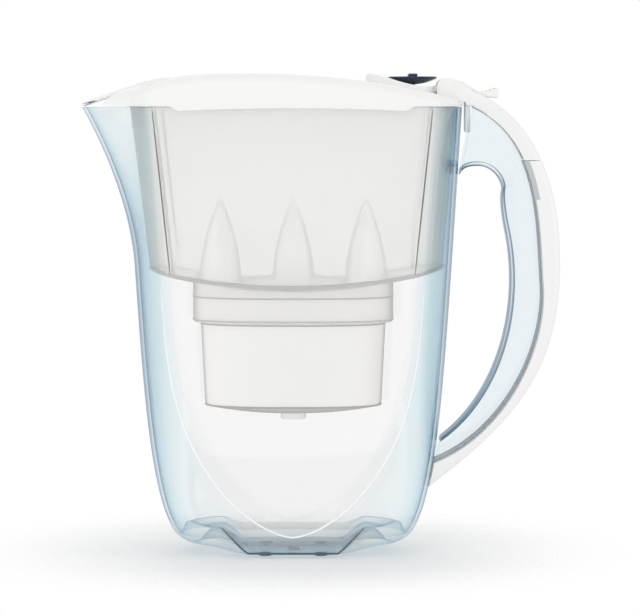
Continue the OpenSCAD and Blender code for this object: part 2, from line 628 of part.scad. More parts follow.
// Flap: a crowned plate, with the lever behind and the dial's housing on it
module fill_flap() {
    function plate(f, low) = [for (p = fill_outline(-flap_gap)) let (
        x = mix((fill_front_x + fill_rear_x) / 2, p[0], f))
        [x, p[1] * f, rim_z + (low ? flap_under(x) : flap_face(x) + 0.8 * (1 - f * f))]];
    color("white") loft(flip(concat([for (f = [0.25, 0.5, 0.75, 1]) plate(f, false)],
        [for (f = [1, 0.75, 0.5, 0.25]) plate(f, true)])));
}
housing_x = dial_x - housing_in;
housing_foot = 6.6;
module dial_housing() {
    half = housing_r + 1;
    side = [for (p = [[-half, 16.2], [-18.6, 18.9], [-14, 18], [-8, 16.5], [-1.8, 14.4], [7, 12.2],
        [12.5, 11.4], [half, 11.4], [half, housing_foot], [-half, housing_foot]])
        [housing_x + p[0], rim_z + p[1]]];
    color("white") difference() {
        intersection() {
            across(side, 3 * housing_r);
            translate([housing_x, 0, rim_z]) cylinder(h = 40, r = housing_r, $fn = ARC);
        }
        bowl_form(seat_gap);
    }
}
bowl_depth = dial_depth - disc_t;
bowl_R = (sq(dial_r) + sq(bowl_depth)) / (2 * bowl_depth);
bowl_top = dial_top - disc_t;
module bowl_form(grow) {
    rise = bowl_R - bowl_depth;
    arc = [for (i = [0:10]) let (r = dial_r * i / 10)
        [r + grow * i / 10, bowl_top + rise - sqrt(sq(bowl_R) - sq(r)) - grow]];
    brim = bowl_top + (grow > 0 ? 4 : 0);
    translate([dial_x, 0, 0]) rotate_extrude($fn = ARC)
        polygon(concat(arc, [[dial_r + grow, brim], [0, brim]]));
}
module dial_bowl() {
    color("midnightblue") difference() {
        bowl_form(0);
        translate([dial_x, 0, dial_top - 9]) cylinder(h = 12, r = rivet_r, $fn = ARC);
    }
}
module dial_rivet() {
    color("white") translate([dial_x, 0, dial_top - dial_depth - 0.6])
        cylinder(h = dial_depth + 0.3, r = rivet_r, $fn = ARC);
}
module dial_disc() {
    color("navy") translate([dial_x, 0, bowl_top + 0.1]) difference() {
        cylinder(h = disc_t - 0.1, r = dial_r - dial_gap, $fn = ARC);
        translate([0, 0, -1]) cylinder(h = 4, r = rivet_r + pin_gap, $fn = ARC);
    }
}
module dial_ridge() {
    ridge_len = 2 * (dial_r - dial_gap) - 4;
    color("midnightblue") translate([dial_x, 0, dial_top - 0.2]) difference() {
        translate([-ridge_half_w, -ridge_len / 2, 0]) cube([2 * ridge_half_w, ridge_len, ridge_h + 0.2]);
        translate([0, 0, -1]) cylinder(h = 1.4, r = rivet_r + 0.4, $fn = ARC);
    }
}
module flap_lever() {
    arm = from_rim([[-hinge_in + 1, 14.6], [3, 12.2], [10.4, 8.2], [19.8, 10.6], [19.8, 5],
        [12, 5.6], [4, 8.6], [-hinge_in + 1, 10]]);
    neck = from_rim([[-hinge_in, hinge_h + 3.3], [-10, hinge_h + 3], [-16.5, 11.6], [-16.5, 7.7],
        [-8, 7.7], [-hinge_in, hinge_h - 3.3]]);
    color("white") difference() {
        union() {
            translate([hinge[0], 0, hinge[1]]) rotate([90, 0, 0])
                cylinder(h = 2 * lever_half_w, r = 3.3, center = true, $fn = ARC);
            across(arm, 2 * lever_half_w);
            across(neck, 2 * lever_half_w);
        }
        translate([hinge[0], 0, hinge[1]]) rotate([90, 0, 0])
            cylinder(h = 60, r = pin_r + pin_gap, center = true, $fn = ARC);
    }
}

jug_body();
handle_core();
handle_cover();
handle_seam();
base_feet();
funnel();
funnel_grips();
well_seal();
cartridge_shell();
cartridge_cap();
cartridge_towers();
pull_pads();
inlet_screen();
filter_bed();
outlet_screen();
outlet_nozzle();
lid_frame();
rear_cap();
flap_pin();
spout_bearings();
spout_pin();
fill_flap();
dial_housing();
flap_lever();
dial_bowl();
dial_rivet();
dial_disc();
dial_ridge();
spout_cover();
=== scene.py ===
"""Looks of a water filter pitcher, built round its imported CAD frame.

Lengths in the settings are metres. The shape functions work in millimetres, in the
same frame as the CAD: +Z up, the spout at -X, the handle at +X, the table at Z 0.
"""

import math
from types import SimpleNamespace

import bpy
import numpy as np
from bpy.props import FloatProperty, FloatVectorProperty, IntProperty, PointerProperty
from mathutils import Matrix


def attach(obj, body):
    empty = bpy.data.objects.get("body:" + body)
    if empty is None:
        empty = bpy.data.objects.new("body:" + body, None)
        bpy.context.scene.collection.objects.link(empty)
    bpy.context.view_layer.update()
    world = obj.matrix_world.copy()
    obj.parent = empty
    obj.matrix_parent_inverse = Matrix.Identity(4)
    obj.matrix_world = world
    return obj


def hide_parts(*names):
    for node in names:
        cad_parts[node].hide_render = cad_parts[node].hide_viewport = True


bl_info = {
    "name": "Water filter pitcher",
    "version": (1, 0, 0),
    "blender": (4, 5, 0),
    "location": "View3D > Sidebar > Pitcher",
    "description": "Builds the pieces of a water filter pitcher and its studio stage",
    "category": "Object",
}

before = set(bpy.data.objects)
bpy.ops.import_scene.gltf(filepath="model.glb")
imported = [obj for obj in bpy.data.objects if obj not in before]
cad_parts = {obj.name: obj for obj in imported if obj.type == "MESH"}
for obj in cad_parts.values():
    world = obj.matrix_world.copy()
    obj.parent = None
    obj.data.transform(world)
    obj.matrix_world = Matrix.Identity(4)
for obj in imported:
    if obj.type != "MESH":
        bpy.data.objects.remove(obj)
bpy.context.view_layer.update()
MM = 0.001


# Settings


def length(name, description, value):
    """A length setting, given here in millimetres and kept in metres."""
    return FloatProperty(name=name, description=description, default=value * MM, unit="LENGTH", precision=5)


def count(name, description, value):
    """A whole number of steps."""
    return IntProperty(name=name, description=description, default=value, min=2)


def number(name, description, value):
    """A plain number."""
    return FloatProperty(name=name, description=description, default=value)


def colour(name, description, value):
    """A colour setting, given as an sRGB hex word."""
    return FloatVectorProperty(
        name=name, description=description, default=linear(value)[:3], subtype="COLOR", min=0, max=1
    )


def linear(word):
    """sRGB hex word to linear RGBA: c / 12.92 below 0.04045, else ((c + 0.055) / 1.055) ^ 2.4."""
    c = np.array([int(word[i : i + 2], 16) for i in (1, 3, 5)]) / 255
    c = np.where(c <= 0.04045, c / 12.92, ((c + 0.055) / 1.055) ** 2.4)
    return (*c.tolist(), 1.0)


class JugSettings(bpy.types.PropertyGroup):
    rim_z: length("Rim height", "Height of the rim above the table", 249)
    half_len: length("Half length", "Half length at the rim, without the spout", 94.3)
    half_dep: length("Half depth", "Half depth at the rim", 54)
    end_taper: length("End taper", "Draw of the two ends from the rim to the base", 15.2)
    side_taper: length("Side taper", "Draw of the broad sides from the rim to the base", 7)
    end_tuck: length("End tuck", "Extra tuck of the ends at the base", 15.5)
    side_tuck: length("Side tuck", "Extra tuck of the broad sides at the base", 9)
    tuck_h: length("Tuck height", "Height over which the tuck fades out", 32)
    edge_r: length("Edge radius", "Radius of the base's outer edge", 9)
    wall: length("Wall", "Thickness of the wall", 2.2)
    floor_t: length("Floor", "Thickness of the floor", 2.6)
    foot_h: length("Foot height", "Height of the pads under the jug", 1.2)
    foot_r: length("Foot radius", "Radius of each pad", 3.5)
    foot_x: length("Foot along", "Pads from the middle, along the jug", 15.5)
    foot_y: length("Foot across", "Pads from the middle, across the jug", 22)
    plinth: length("Plinth", "Half length of the plinth that stands on the table", 26)
    plinth_run: length("Plinth run", "Length over which the underside rises beside the plinth", 15)
    arch_h: length("Arch height", "Rise of the underside beside the plinth", 10)
    lobe_h: length("Lobe height", "Rise of the base's outer edge at its ends", 3.2)
    spout_reach: length("Spout reach", "Reach of the spout past the end of the rim", 23.6)
    spout_drop: length("Spout height", "Height of the spout, down from the rim", 87.8)
    spout_half_w: length("Spout half width", "Half width of the spout at the end wall", 36)
    panel_half: length("Panel half length", "Half length of the U-shaped panel at the rim", 79.3)
    panel_lean: length("Panel lean", "Draw of the panel's sides towards the table", 19)
    panel_turn: length("Panel turn", "Height where the panel's sides curve in", 131)
    panel_low: length("Panel low point", "Height of the panel's lowest point", 12.2)
    panel_crown: length("Panel crown", "Crown of the panel along the jug", 4)
    ridge_soft: length("Ridge softness", "Softness of the ridge round the panel", 1.6)
    bead_h: length("Bead height", "Height of the fine bead on the ridge", 0.45)
    bead_w: length("Bead width", "Half width of that bead", 0.75)
    # The white line on the bead is a painted highlight
    bead_r: length("Line radius", "Radius of the painted highlight line on the bead", 0.5)
    lobe_run: length("Lobe run", "Length over which the base's edge rises beside the plinth", 22)
    lobe_fade: length("Lobe fade", "Height over which that rise fades out", 26)
    # The plinth's dark corner lines set here are painted shade
    corner_out: length("Corner top", "Upper end of the plinth's dark corner, along the jug", 39.5)
    corner_in: length("Corner foot", "Lower end of that corner, along the jug", 25)
    corner_h: length("Corner height", "Height of its upper end above the foot", 16.5)
    corner_r: length("Corner line", "Radius of the dark line at the plinth's corners", 0.6)
    # Below this height the clear plates get a paler copy of the tints: painted light from the floor
    pale_h: length("Pale base", "Height under which the clear plates look paler", 16)
    end_steps: count("End steps", "Columns from an end to the ridge", 34)
    mid_steps: count("Middle steps", "Columns from the ridge to the middle", 26)


class HandleSettings(bpy.types.PropertyGroup):
    width: length("Width", "Width of the handle", 24)
    core_wall: length("Core wall", "Wall of the clear channel", 2.2)
    cover_wall: length("Cover wall", "Wall of the cover and of the rear cap", 2)
    # The strip between core and cover is painted shade in their groove
    seam_t: length("Seam", "Thickness of the strip between core and cover", 0.8)
    split_drop: length("Split", "Split between cover and rear cap, down from the rim", 29.7)
    split_gap: length("Split gap", "Half of the gap at that split", 0.25)
    latch_t: length("Latch thickness", "Thickness of the latch strip below the split", 3)
    latch_low: length("Latch end", "Lower end of the latch strip, down from the rim", 51.5)
    round_r: length("Rounding", "Radius of the cover's outer corners", 4.5)
    steps: count("Steps", "Stations along the handle", 90)


class FunnelSettings(bpy.types.PropertyGroup):
    wall: length("Wall", "Wall of the funnel", 1.8)
    gap: length("Gap", "Gap to the jug at the rim", 1)
    depth: length("Depth", "Depth of the side walls at the ends", 88)
    draw_front: length("Front draw", "Draw of the end wall at the spout", 11)
    draw_rear: length("Rear draw", "Draw of the end wall at the handle", 7)
    draw_side: length("Side draw", "Draw of the broad sides", 6)
    ridge_in: length("Ridge inset", "Inset of the ridge from the jug's", 3)
    line_r: length("Line radius", "Radius of the dark lines at the corners", 0.4)
    # The band round the floor is painted shade
    band_r: length("Band radius", "Radius of the painted shade band round the floor's edge", 1.1)
    step_t: length("Corner step", "Step in the wall at each corner of the broad sides", 1.1)
    sag: length("Sag", "Sag of the boat-shaped floor", 12)
    flange_t: length("Flange", "Thickness of the flange on the rim", 1.4)
    flange_in: length("Flange inset", "Inset of the flange from the jug's outside", 1.2)
    seat_gap: length("Seat gap", "Gap under the flange and over it", 0.2)
    ledge_drop: length("Ledge", "Ledge that carries the cartridge, down from the rim", 118)
    ledge_t: length("Ledge thickness", "Thickness of that ledge", 1.6)
    grip_h: length("Grip height", "Height of the ribbed grips", 11)
    grip_w: length("Grip width", "Width of each grip", 18)
    grip_t: length("Grip thickness", "Thickness of each grip behind its ribs", 4.5)
    grip_ribs: count("Ribs", "Ribs on each grip", 5)


class CartridgeSettings(bpy.types.PropertyGroup):
    half_len: length("Half length", "Half length of the shell at its top", 51.8)
    half_dep: length("Half depth", "Half depth of the shell at its top", 32)
    draw: length("Draw", "Draw of the shell to its bottom", 2.4)
    drop: length("Shell height", "Height of the shell below the ledge", 48.5)
    crown: length("Crown", "Crown of the shell's bottom", 5)
    wall: length("Wall", "Wall of the shell", 1.5)
    flange: length("Flange", "Width of the flange in the funnel", 2.1)
    flange_t: length("Flange thickness", "Thickness of that flange", 2)
    seal_t: length("Seal", "Thickness of the seal on the ledge", 1)
    seat_gap: length("Seat gap", "Gap over the seal and under the cap", 0.2)
    gap: length("Gap", "Clearance in the funnel's well", 0.35)
    cap_h: length("Cap height", "Height of the cap above the ledge", 17)
    dome_h: length("Dome height", "Height of the dome on the cap", 8)
    tower_h: length("Tower height", "Height of the pointed towers", 51)
    tower_half_w: length("Tower half width", "Half width of a tower at its foot", 12)
    tower_half_dep: length("Tower half depth", "Half depth of a tower at its foot", 21)
    tower_pitch: length("Tower pitch", "Distance from tower to tower", 40.8)
    pad_r: length("Pad radius", "Radius of the round pull pads", 8.6)
    pad_up: length("Pad height", "Middle of the pads above the cap's edge", 3.5)
    screen_half_len: length("Screen half length", "Half length of the outlet's oval screen", 30.5)
    screen_half_dep: length("Screen half depth", "Half depth of that screen", 18)
    nozzle_r: length("Nozzle radius", "Radius of the nozzle", 7)
    nozzle_h: length("Nozzle length", "Length of the nozzle", 3.2)


class LidSettings(bpy.types.PropertyGroup):
    crown: length("Crown", "Crown of the lid above the rim", 18.2)
    peak_x: length("Peak", "Highest point of the lid along the jug", -22)
    rear_drop: length("Rear drop", "Drop from the crown to the rear end", 15)
    front_in: length("Front inset", "Front end of the shoulder's line from the rim's end", 5.3)
    front_drop: length("Front drop", "Drop of the shoulder towards the spout", 10.2)
    skin: length("Skin", "Skin of the lid", 2)
    skirt_half: length("Skirt half length", "Half length of the skirt's lower part on the broad sides", 62)
    skirt_h: length("Skirt drop", "Drop of the skirt at the ends of that part", 2.6)
    over: length("Overhang", "Overhang past the jug's rim", 0.8)
    fill_half_dep: length("Opening half depth", "Half depth of the filling opening", 34)
    fill_front: length("Opening front", "Front end of the filling opening", -62)
    fill_rear: length("Opening rear", "Rear end of the filling opening", 80)
    flap_t: length("Flap thickness", "Thickness of the flap", 2.2)
    flap_gap: length("Flap gap", "Gap round the flap", 0.6)
    lip_w: length("Lip width", "Width of the lip under the flap", 2.5)
    cover_half_w: length("Spout cover half width", "Half width of the cover over the spout", 16.6)
    cover_hinge_h: length("Spout hinge height", "Spout cover's hinge above the rim", 11.3)
    cover_hinge_in: length("Spout hinge inset", "Spout cover's hinge from the rim's end", 11.7)
    hinge_in: length("Hinge inset", "Flap's hinge pin from the rim's end", 3.6)
    hinge_h: length("Hinge height", "Flap's hinge pin above the rim", 11.8)
    pin_r: length("Pin radius", "Radius of the flap's pin", 1.6)
    lever_half_w: length("Lever half width", "Half width of the lever between the ears", 8.2)
    ear_gap: length("Ear gap", "Side gap between the lever and the ears", 0.5)


class DialSettings(bpy.types.PropertyGroup):
    inset: length("Dial position", "Dial from the hinge pin, towards the spout", 24.1)
    radius: length("Radius", "Radius of the bowl", 14)
    depth: length("Depth", "Depth of the bowl", 4.5)
    top_h: length("Top height", "Flat top above the rim", 17.1)
    disc_t: length("Disc", "Thickness of the turning disc", 1)
    ridge_half_w: length("Ridge half width", "Half width of the finger ridge", 2.6)
    ridge_h: length("Ridge height", "Height of the finger ridge", 1.5)
    gap: length("Gap", "Clearance round the disc", 0.4)
    housing_r: length("Housing radius", "Radius of the housing", 19.5)
    housing_in: length("Housing offset", "Housing's middle from the dial's", 6.6)


class StageSettings(bpy.types.PropertyGroup):
    distance: length("Camera distance", "Camera from the middle of the jug", 1800)
    eye_z: length("Eye height", "Camera above the table", 249)
    aim_x: length("Aim along", "Point in the image's middle, along the jug", 15)
    aim_z: length("Aim height", "Point in the image's middle, above the table", 137)
    focal: number("Focal length", "In millimetres of a 36 mm wide sensor", 180.8)
    surround: number("Surround", "Strength of the soft surround", 0.84)
    front: number("Front box", "Power of the front light in watts", 9)
    side: number("Side boxes", "Power of each side light in watts", 3)
    back: number("Back box", "Power of the back light in watts", 3)
    floor_half: length("Floor", "Half length of the floor", 340)
    fade_start: length("Fade start", "Distance from the middle where the floor starts to fade out", 50)
    fade_end: length("Fade end", "Distance from the middle where the floor is gone", 210)
    backdrop: colour("Backdrop", "Colour behind the object", "#FFFFFF")
    floor: colour("Floor", "Colour of the floor", "#FBFBFB")


GROUPS = {
    "pitcher_jug": JugSettings,
    "pitcher_handle": HandleSettings,
    "pitcher_funnel": FunnelSettings,
    "pitcher_cartridge": CartridgeSettings,
    "pitcher_lid": LidSettings,
    "pitcher_dial": DialSettings,
    "pitcher_stage": StageSettings,
}


def settings(name):
    """The values of one settings group, with its lengths in millimetres."""
    group = getattr(bpy.context.scene, "pitcher_" + name)
    values = {}
    for key, prop in group.bl_rna.properties.items():
        if key in ("rna_type", "name"):
            continue
        value = getattr(group, key)
        values[key] = value / MM if getattr(prop, "unit", "NONE") == "LENGTH" else value
    return SimpleNamespace(**values)


# Numbers and curves


def mix(a, b, f):
    """a + (b - a) f."""
    return a + (b - a) * f


def ease(v):
    """Smooth step: s^2 (3 - 2 s), where s is v kept between 0 and 1."""
    s = np.clip(v, 0, 1)
    return s * s * (3 - 2 * s)


def soft_min(p, q, k):
    """min(p, q) - h^2 k / 4 with h = max(k - |p - q|, 0) / k."""
    h = np.maximum(k - np.abs(p - q), 0) / k
    return np.minimum(p, q) - h * h * k / 4


def column(values):
    """The values as an (m, 1) column."""
    return np.asarray(values, float).reshape(-1, 1)


def bezier(points, n):
    """Points of a cubic: sum of binomial(3, k) (1 - t)^(3 - k) t^k p_k."""
    t = column(np.linspace(0, 1, n + 1))
    s = 1 - t
    p = np.asarray(points, float)
    return s**3 * p[0] + 3 * s**2 * t * p[1] + 3 * s * t**2 * p[2] + t**3 * p[3]


def turn(n):
    """n angles of a full turn."""
    return np.linspace(0, 2 * math.pi, n, endpoint=False)


def quarter(n):
    """n angles of a quarter turn, both ends included."""
    return np.linspace(0, math.pi / 2, n)


def circle(t):
    """Points (n, 2) at angles t of a circle of radius 1."""
    return np.stack([np.cos(t), np.sin(t)], axis=1)


def unit(vectors):
    """The vectors, each brought to length 1."""
    return vectors / np.maximum(np.linalg.norm(vectors, axis=-1, keepdims=True), 1e-9)


def superoval(half_x, half_y, t, power):
    """|x / a|^power + |y / b|^power = 1 at angles t."""
    cos, sin = np.cos(t), np.sin(t)
    p = 2 / power
    return half_x * np.sign(cos) * np.abs(cos) ** p, half_y * np.sign(sin) * np.abs(sin) ** p


def ring_at(x, y, z):
    """Rings (m, n, 3) from x, y and z, which stretch to one shape, (m, n) or (n,)."""
    points = np.stack(np.broadcast_arrays(x, y, z), axis=-1)
    return points.reshape(-1, *points.shape[-2:])


def chain(*curves, shared=1):
    """One path through curves. Each starts with the shared points that end the one before it."""
    return np.concatenate([curves[0]] + [c[shared:] for c in curves[1:]])


def resample(path, n):
    """n points at even steps of arc length."""
    run = np.concatenate([[0], np.cumsum(np.linalg.norm(np.diff(path, axis=0), axis=1))])
    s = np.linspace(0, run[-1], n)
    return np.stack([np.interp(s, run, path[:, k]) for k in range(path.shape[1])], axis=1)


def sides(path, closed=False):
    """Unit vectors to the left of a path in its own plane."""
    if closed:
        d = np.roll(path, -1, axis=0) - np.roll(path, 1, axis=0)
    else:
        d = np.gradient(path, axis=0)
    return unit(np.stack([-d[:, 1], d[:, 0]], axis=1))


def shift(path, d):
    """The path moved to its left by d."""
    return path + d * sides(path)


def between(path, z_lo, z_hi):
    """The part of a falling path with z_lo <= z <= z_hi, cut exactly at both heights."""
    z = path[::-1, 1]
    keep = path[(path[:, 1] > z_lo) & (path[:, 1] < z_hi)]
    parts = [keep]
    if path[0, 1] > z_hi:
        parts.insert(0, np.array([[np.interp(z_hi, z, path[::-1, 0]), z_hi]]))
    if path[-1, 1] < z_lo:
        parts.append(np.array([[np.interp(z_lo, z, path[::-1, 0]), z_lo]]))
    return np.concatenate(parts)


# Meshes


def loft(*blocks, loop=False, flat=False):
    """Vertices and faces of a skin over rings of equal length, given as (m, n, 3) blocks.

    Quads join ring k to ring k + 1. With loop the last ring joins the first; else each
    end is closed, by a fan to its middle or, with flat, by one face.
    """
    rings = np.concatenate(blocks)
    m, n = rings.shape[:2]
    points = rings.reshape(-1, 3)
    k = np.arange(m if loop else m - 1)[:, None]
    j = np.arange(n)[None, :]
    a = k * n + j
    b = k * n + (j + 1) % n
    c = ((k + 1) % m) * n + (j + 1) % n
    d = ((k + 1) % m) * n + j
    faces = [np.stack([a, b, c, d], axis=-1).reshape(-1, 4)]
    if not loop and flat:
        faces += [np.arange(n)[None, ::-1], (m - 1) * n + np.arange(n)[None, :]]
    elif not loop:
        points = np.concatenate([points, rings[[0, -1]].mean(axis=1)])
        j = np.arange(n)
        faces += [
            np.stack([np.full(n, m * n), (j + 1) % n, j], axis=1),
            np.stack([np.full(n, m * n + 1), (m - 1) * n + j, (m - 1) * n + (j + 1) % n], axis=1),
        ]
    if volume(points, faces) < 0:
        faces = [f[:, ::-1] for f in faces]
    return points, faces


def volume(points, faces):
    """Signed volume: a sixth of the sum of p0 . (p1 x p2) over fans of each face."""
    total = 0.0
    for f in faces:
        for i in range(1, f.shape[1] - 1):
            p, q, r = points[f[:, 0]], points[f[:, i]], points[f[:, i + 1]]
            total += np.einsum("ij,ij->", p, np.cross(q, r)) / 6
    return total


def mirrored(part):
    """The part turned over the plane Y 0, its faces turned back outward."""
    points, faces = part
    return points * [1, -1, 1], [f[:, ::-1] for f in faces]


def on_both_sides(part):
    """The part and its mirror image across the plane Y 0."""
    return [part, mirrored(part)]


def moved(part, offset):
    """The part moved by offset, in mm."""
    points, faces = part
    return points + offset, faces


def piece(name, parts, body, surface, stands_for=(), sharp=32, below=None):
    """One mesh object of closed parts, in metres, that rides a body.

    surface is the name of its finish, below a second finish and the height in mm under
    which faces take it, and sharp the angle in degrees from which edges look sharp.
    """
    points, corners, starts, first, total = [], [], [], 0, 0
    for part_points, part_faces in parts:
        for f in part_faces:
            corners.append((f + first).ravel())
            starts.append(total + np.arange(len(f)) * f.shape[1])
            total += f.size
        points.append(part_points)
        first += len(part_points)
    mesh = bpy.data.meshes.new(name)
    points = np.concatenate(points) * MM
    starts = np.concatenate(starts)
    mesh.vertices.add(len(points))
    mesh.vertices.foreach_set("co", points.ravel())
    mesh.loops.add(total)
    mesh.loops.foreach_set("vertex_index", np.concatenate(corners).astype(np.int32))
    mesh.polygons.add(len(starts))
    mesh.polygons.foreach_set("loop_start", starts.astype(np.int32))
    mesh.update(calc_edges=True)
    mesh.validate()
    mesh.polygons.foreach_set("use_smooth", np.ones(len(mesh.polygons), bool))
    mesh.set_sharp_from_angle(angle=math.radians(sharp))
    mesh.materials.append(finish(surface))
    if below:
        mesh.materials.append(finish(below[0]))
        middle = np.empty(3 * len(mesh.polygons))
        mesh.polygons.foreach_get("center", middle)
        mesh.polygons.foreach_set("material_index", (middle[2::3] < below[1] * MM).astype(np.int32))
    obj = bpy.data.objects.new(name, mesh)
    bpy.context.scene.collection.objects.link(obj)
    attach(obj, body)
    if stands_for:
        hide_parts(*stands_for)
    return obj


def slab(outline, half_w, r, steps=5, y=0.0):
    """An outline (n, 2) in X and Z, made solid across Y with rounded edges.

    Ring a: y = half_w - r (1 - cos a), pulled in by r (1 - sin a) along the outline's sides.
    """
    x, z = np.transpose(outline)
    area = np.sum(x * np.roll(z, -1) - z * np.roll(x, -1))
    inward = sides(outline, closed=True) * np.sign(area)
    a = quarter(steps)
    pull = r * (1 - np.sin(a))
    reach = half_w - r + r * np.cos(a)
    pull = np.concatenate([pull, pull[::-1]])
    reach = np.concatenate([-reach, reach[::-1]])
    flat = outline + inward * pull[:, None, None]
    return loft(ring_at(flat[..., 0], column(reach) + y, flat[..., 1]), flat=True)


def channel(back, open_side, half_w, wall, r):
    """A U-shaped channel between two paired paths (m, 2) in X and Z.

    A profile point b lies back + (open - back) b / L, with b in mm from the back, and
    the two back corners are arcs of radius r outside and r - wall inside.
    """
    a = quarter(7)
    ri = max(r - wall, 0.3)
    out_b = r - r * np.sin(a)
    out_y = half_w - r + r * np.cos(a)
    in_b = wall + ri - ri * np.sin(a)
    in_y = half_w - wall - ri + ri * np.cos(a)
    far = 1e6
    b = np.concatenate([[far], out_b, out_b[::-1], [far], [far], in_b, in_b[::-1], [far]])
    y = np.concatenate([[-half_w], -out_y, out_y[::-1], [half_w], [half_w - wall], in_y, -in_y[::-1],
                        [wall - half_w]])
    run = open_side - back
    span = np.linalg.norm(run, axis=1, keepdims=True)
    flat = back[:, None] + (run / span)[:, None] * np.minimum(b, span)[..., None]
    return loft(ring_at(flat[..., 0], y, flat[..., 1]), flat=True)


def strap(low, high, y0, y1, r):
    """Solid bar between two lines in the XZ plane, from y0 to y1, rounded by r: each ring is
    a rounded rectangle, mix(low, high, u) across and y along, with u and y kept r from the corners."""
    corner = r * (1 - circle(quarter(5)))
    tall = np.linalg.norm(high - low, axis=1)[:, None]
    wide = column(y1 - y0)
    u = np.minimum(corner[:, 0] / tall, 0.5)
    v = np.minimum(corner[:, 1] / wide, 0.5)
    across = np.concatenate([u, 1 - u[:, ::-1], 1 - u, u[:, ::-1]], axis=1)
    along = np.concatenate([v, v[:, ::-1], 1 - v, 1 - v[:, ::-1]], axis=1)
    point = low[:, None] + (high - low)[:, None] * across[..., None]
    return loft(ring_at(point[..., 0], y0 + along * wide, point[..., 1]))


def lathe(profile, n=96, centre=(0, 0, 0), axis="Z", loop=False):
    """A profile (m, 2) of radius and height turned about an axis through centre. With loop the
    profile is closed on itself, as a ring's."""
    profile = np.asarray(profile, float)
    r, h = profile[:, :1], profile[:, 1:]
    x, y = r * np.cos(turn(n)), r * np.sin(turn(n))
    rings = ring_at(x, h, y) if axis == "Y" else ring_at(x, y, h)
    return loft(rings + centre, loop=loop)


def rod(x, z, half_w, r, edge=0.4, y=0.0):
    """A pin along Y with rounded ends."""
    end = [r - edge, edge - half_w] + edge * circle(quarter(5)[::-1]) * [1, -1]
    return lathe(chain(end, end[::-1] * [1, -1], shared=0), 48, (x, y, z), axis="Y")


def block(lo, hi, r):
    """A box with rounded edges across Y."""
    x0, y0, z0 = lo
    x1, y1, z1 = hi
    middles = np.array([[x1 - r, z1 - r], [x0 + r, z1 - r], [x0 + r, z0 + r], [x1 - r, z0 + r]])
    corners = [middle + r * circle(quarter(5) + q * math.pi / 2) for q, middle in enumerate(middles)]
    return slab(chain(*corners, shared=0), (y1 - y0) / 2, r, y=(y0 + y1) / 2)


def tube(path, r, across, up, steps, loop=False):
    """Circles of radius r round a path (m, 3), in the plane of across (m, 3) and up."""
    t = turn(steps)[:, None]
    return loft(path[:, None] + r * (np.cos(t) * across[:, None] + np.sin(t) * np.array(up)), loop=loop)


def thin_tube(path, r):
    """Round tube along a path (m, 3) that runs in the broad side. Its radius r sin(pi s)^0.3, at
    least r / 20, thins out at both ends."""
    along = np.gradient(path, axis=0)
    up = [0.0, 1.0, 0.0]
    fade = np.maximum(np.sin(np.linspace(0, math.pi, len(path))), 0) ** 0.3
    return tube(path, r * np.maximum(fade, 0.05)[:, None, None], unit(np.cross(unit(along), up)), up, 12)


def hoop(path, r):
    """Round tube along one closed ring, whose circles lie in the plane of Z and of the ring's
    level outward normal."""
    path = path.reshape(-1, 3)
    along = np.roll(path, -1, axis=0) - np.roll(path, 1, axis=0)
    return tube(path, r, unit(np.cross(along, [0, 0, 1])), [0.0, 0.0, 1.0], 10, loop=True)


# Shape of the jug, shared by the funnel and the lid

# Power of the superoval that the cartridge and its well follow
OVAL_POWER = 2.6


def rim_end(jug):
    """The rim's end at the handle, in X and Z."""
    return np.array([jug.half_len, jug.rim_z])


def angles(jug, ridge):
    """Angles of the columns for each ridge angle (m, 1). They crowd at the ridge: from an end
    t = ridge (1 - (1 - s)^crowd), and from the ridge t = ridge + (90 - ridge) s^crowd."""
    e, m = jug.end_steps, jug.mid_steps
    q, crowd = e + m, 1.6
    ends = ridge * (1 - (1 - np.arange(e + 1) / e) ** crowd)
    mids = ridge + (math.pi / 2 - ridge) * (np.arange(1, m + 1) / m) ** crowd
    first = np.concatenate([ends, mids], axis=1)
    side, i = np.divmod(np.arange(4 * q), q)
    up = math.pi / 2 * side + first[:, i]
    down = math.pi / 2 * (side + 1) - first[:, (q - i) % (q + 1)]
    return np.where(side % 2 == 0, up, down)


def section(jug, len_a, len_b, dep, half_u, out):
    """Level sections, one row for each value: x = L cos t - out (1 - (y / w)^2)^2 on the spout's
    side, |y| = soft minimum of the oval B |sin t| and of the panel dep - crown cos^2 t."""
    rows = [column(v) for v in (len_a, len_b, dep, half_u, out)]
    len_a, len_b, dep, half_u, out = np.broadcast_arrays(*rows)
    u = np.clip(half_u, 0, 0.97 * np.minimum(len_a, len_b))
    mean = (len_a + len_b) / 2
    bulge = (dep - jug.panel_crown * (u / mean) ** 2) / np.sqrt(1 - (u / mean) ** 2)
    ridge = np.minimum(np.arccos(u / mean), math.radians(78))
    t = angles(jug, ridge)
    cos, sin = np.cos(t), np.sin(t)
    reach = np.where(cos < 0, len_a, len_b)
    flat = dep - jug.panel_crown * cos**2
    y = soft_min(bulge * np.abs(sin), flat, jug.ridge_soft)
    lip = np.where(cos < 0, out * np.maximum(0, 1 - (y / jug.spout_half_w) ** 2) ** 2, 0)
    return reach * cos - lip, np.sign(sin) * y


def jug_lengths(jug, z):
    """Half length and half depth at height z: value - taper (1 - h) - tuck exp(-h / fade)."""
    z = np.asarray(z, float)
    up = z - jug.foot_h
    high = 1 - up / (jug.rim_z - jug.foot_h)
    tuck = np.exp(-up / jug.tuck_h)
    return (
        jug.half_len - jug.end_taper * high - jug.end_tuck * tuck,
        jug.half_dep - jug.side_taper * high - jug.side_tuck * tuck,
    )


def panel(jug, z):
    """Half length of the U panel: (P - lean (1 - z / rim)) (1 - r^2.6)^(1 / 1.6)."""
    z = np.asarray(z, float)
    r = np.clip((jug.panel_turn - z) / (jug.panel_turn - jug.panel_low), 0, 1)
    return (jug.panel_half - jug.panel_lean * (1 - z / jug.rim_z)) * (1 - r**2.6) ** (1 / 1.6)


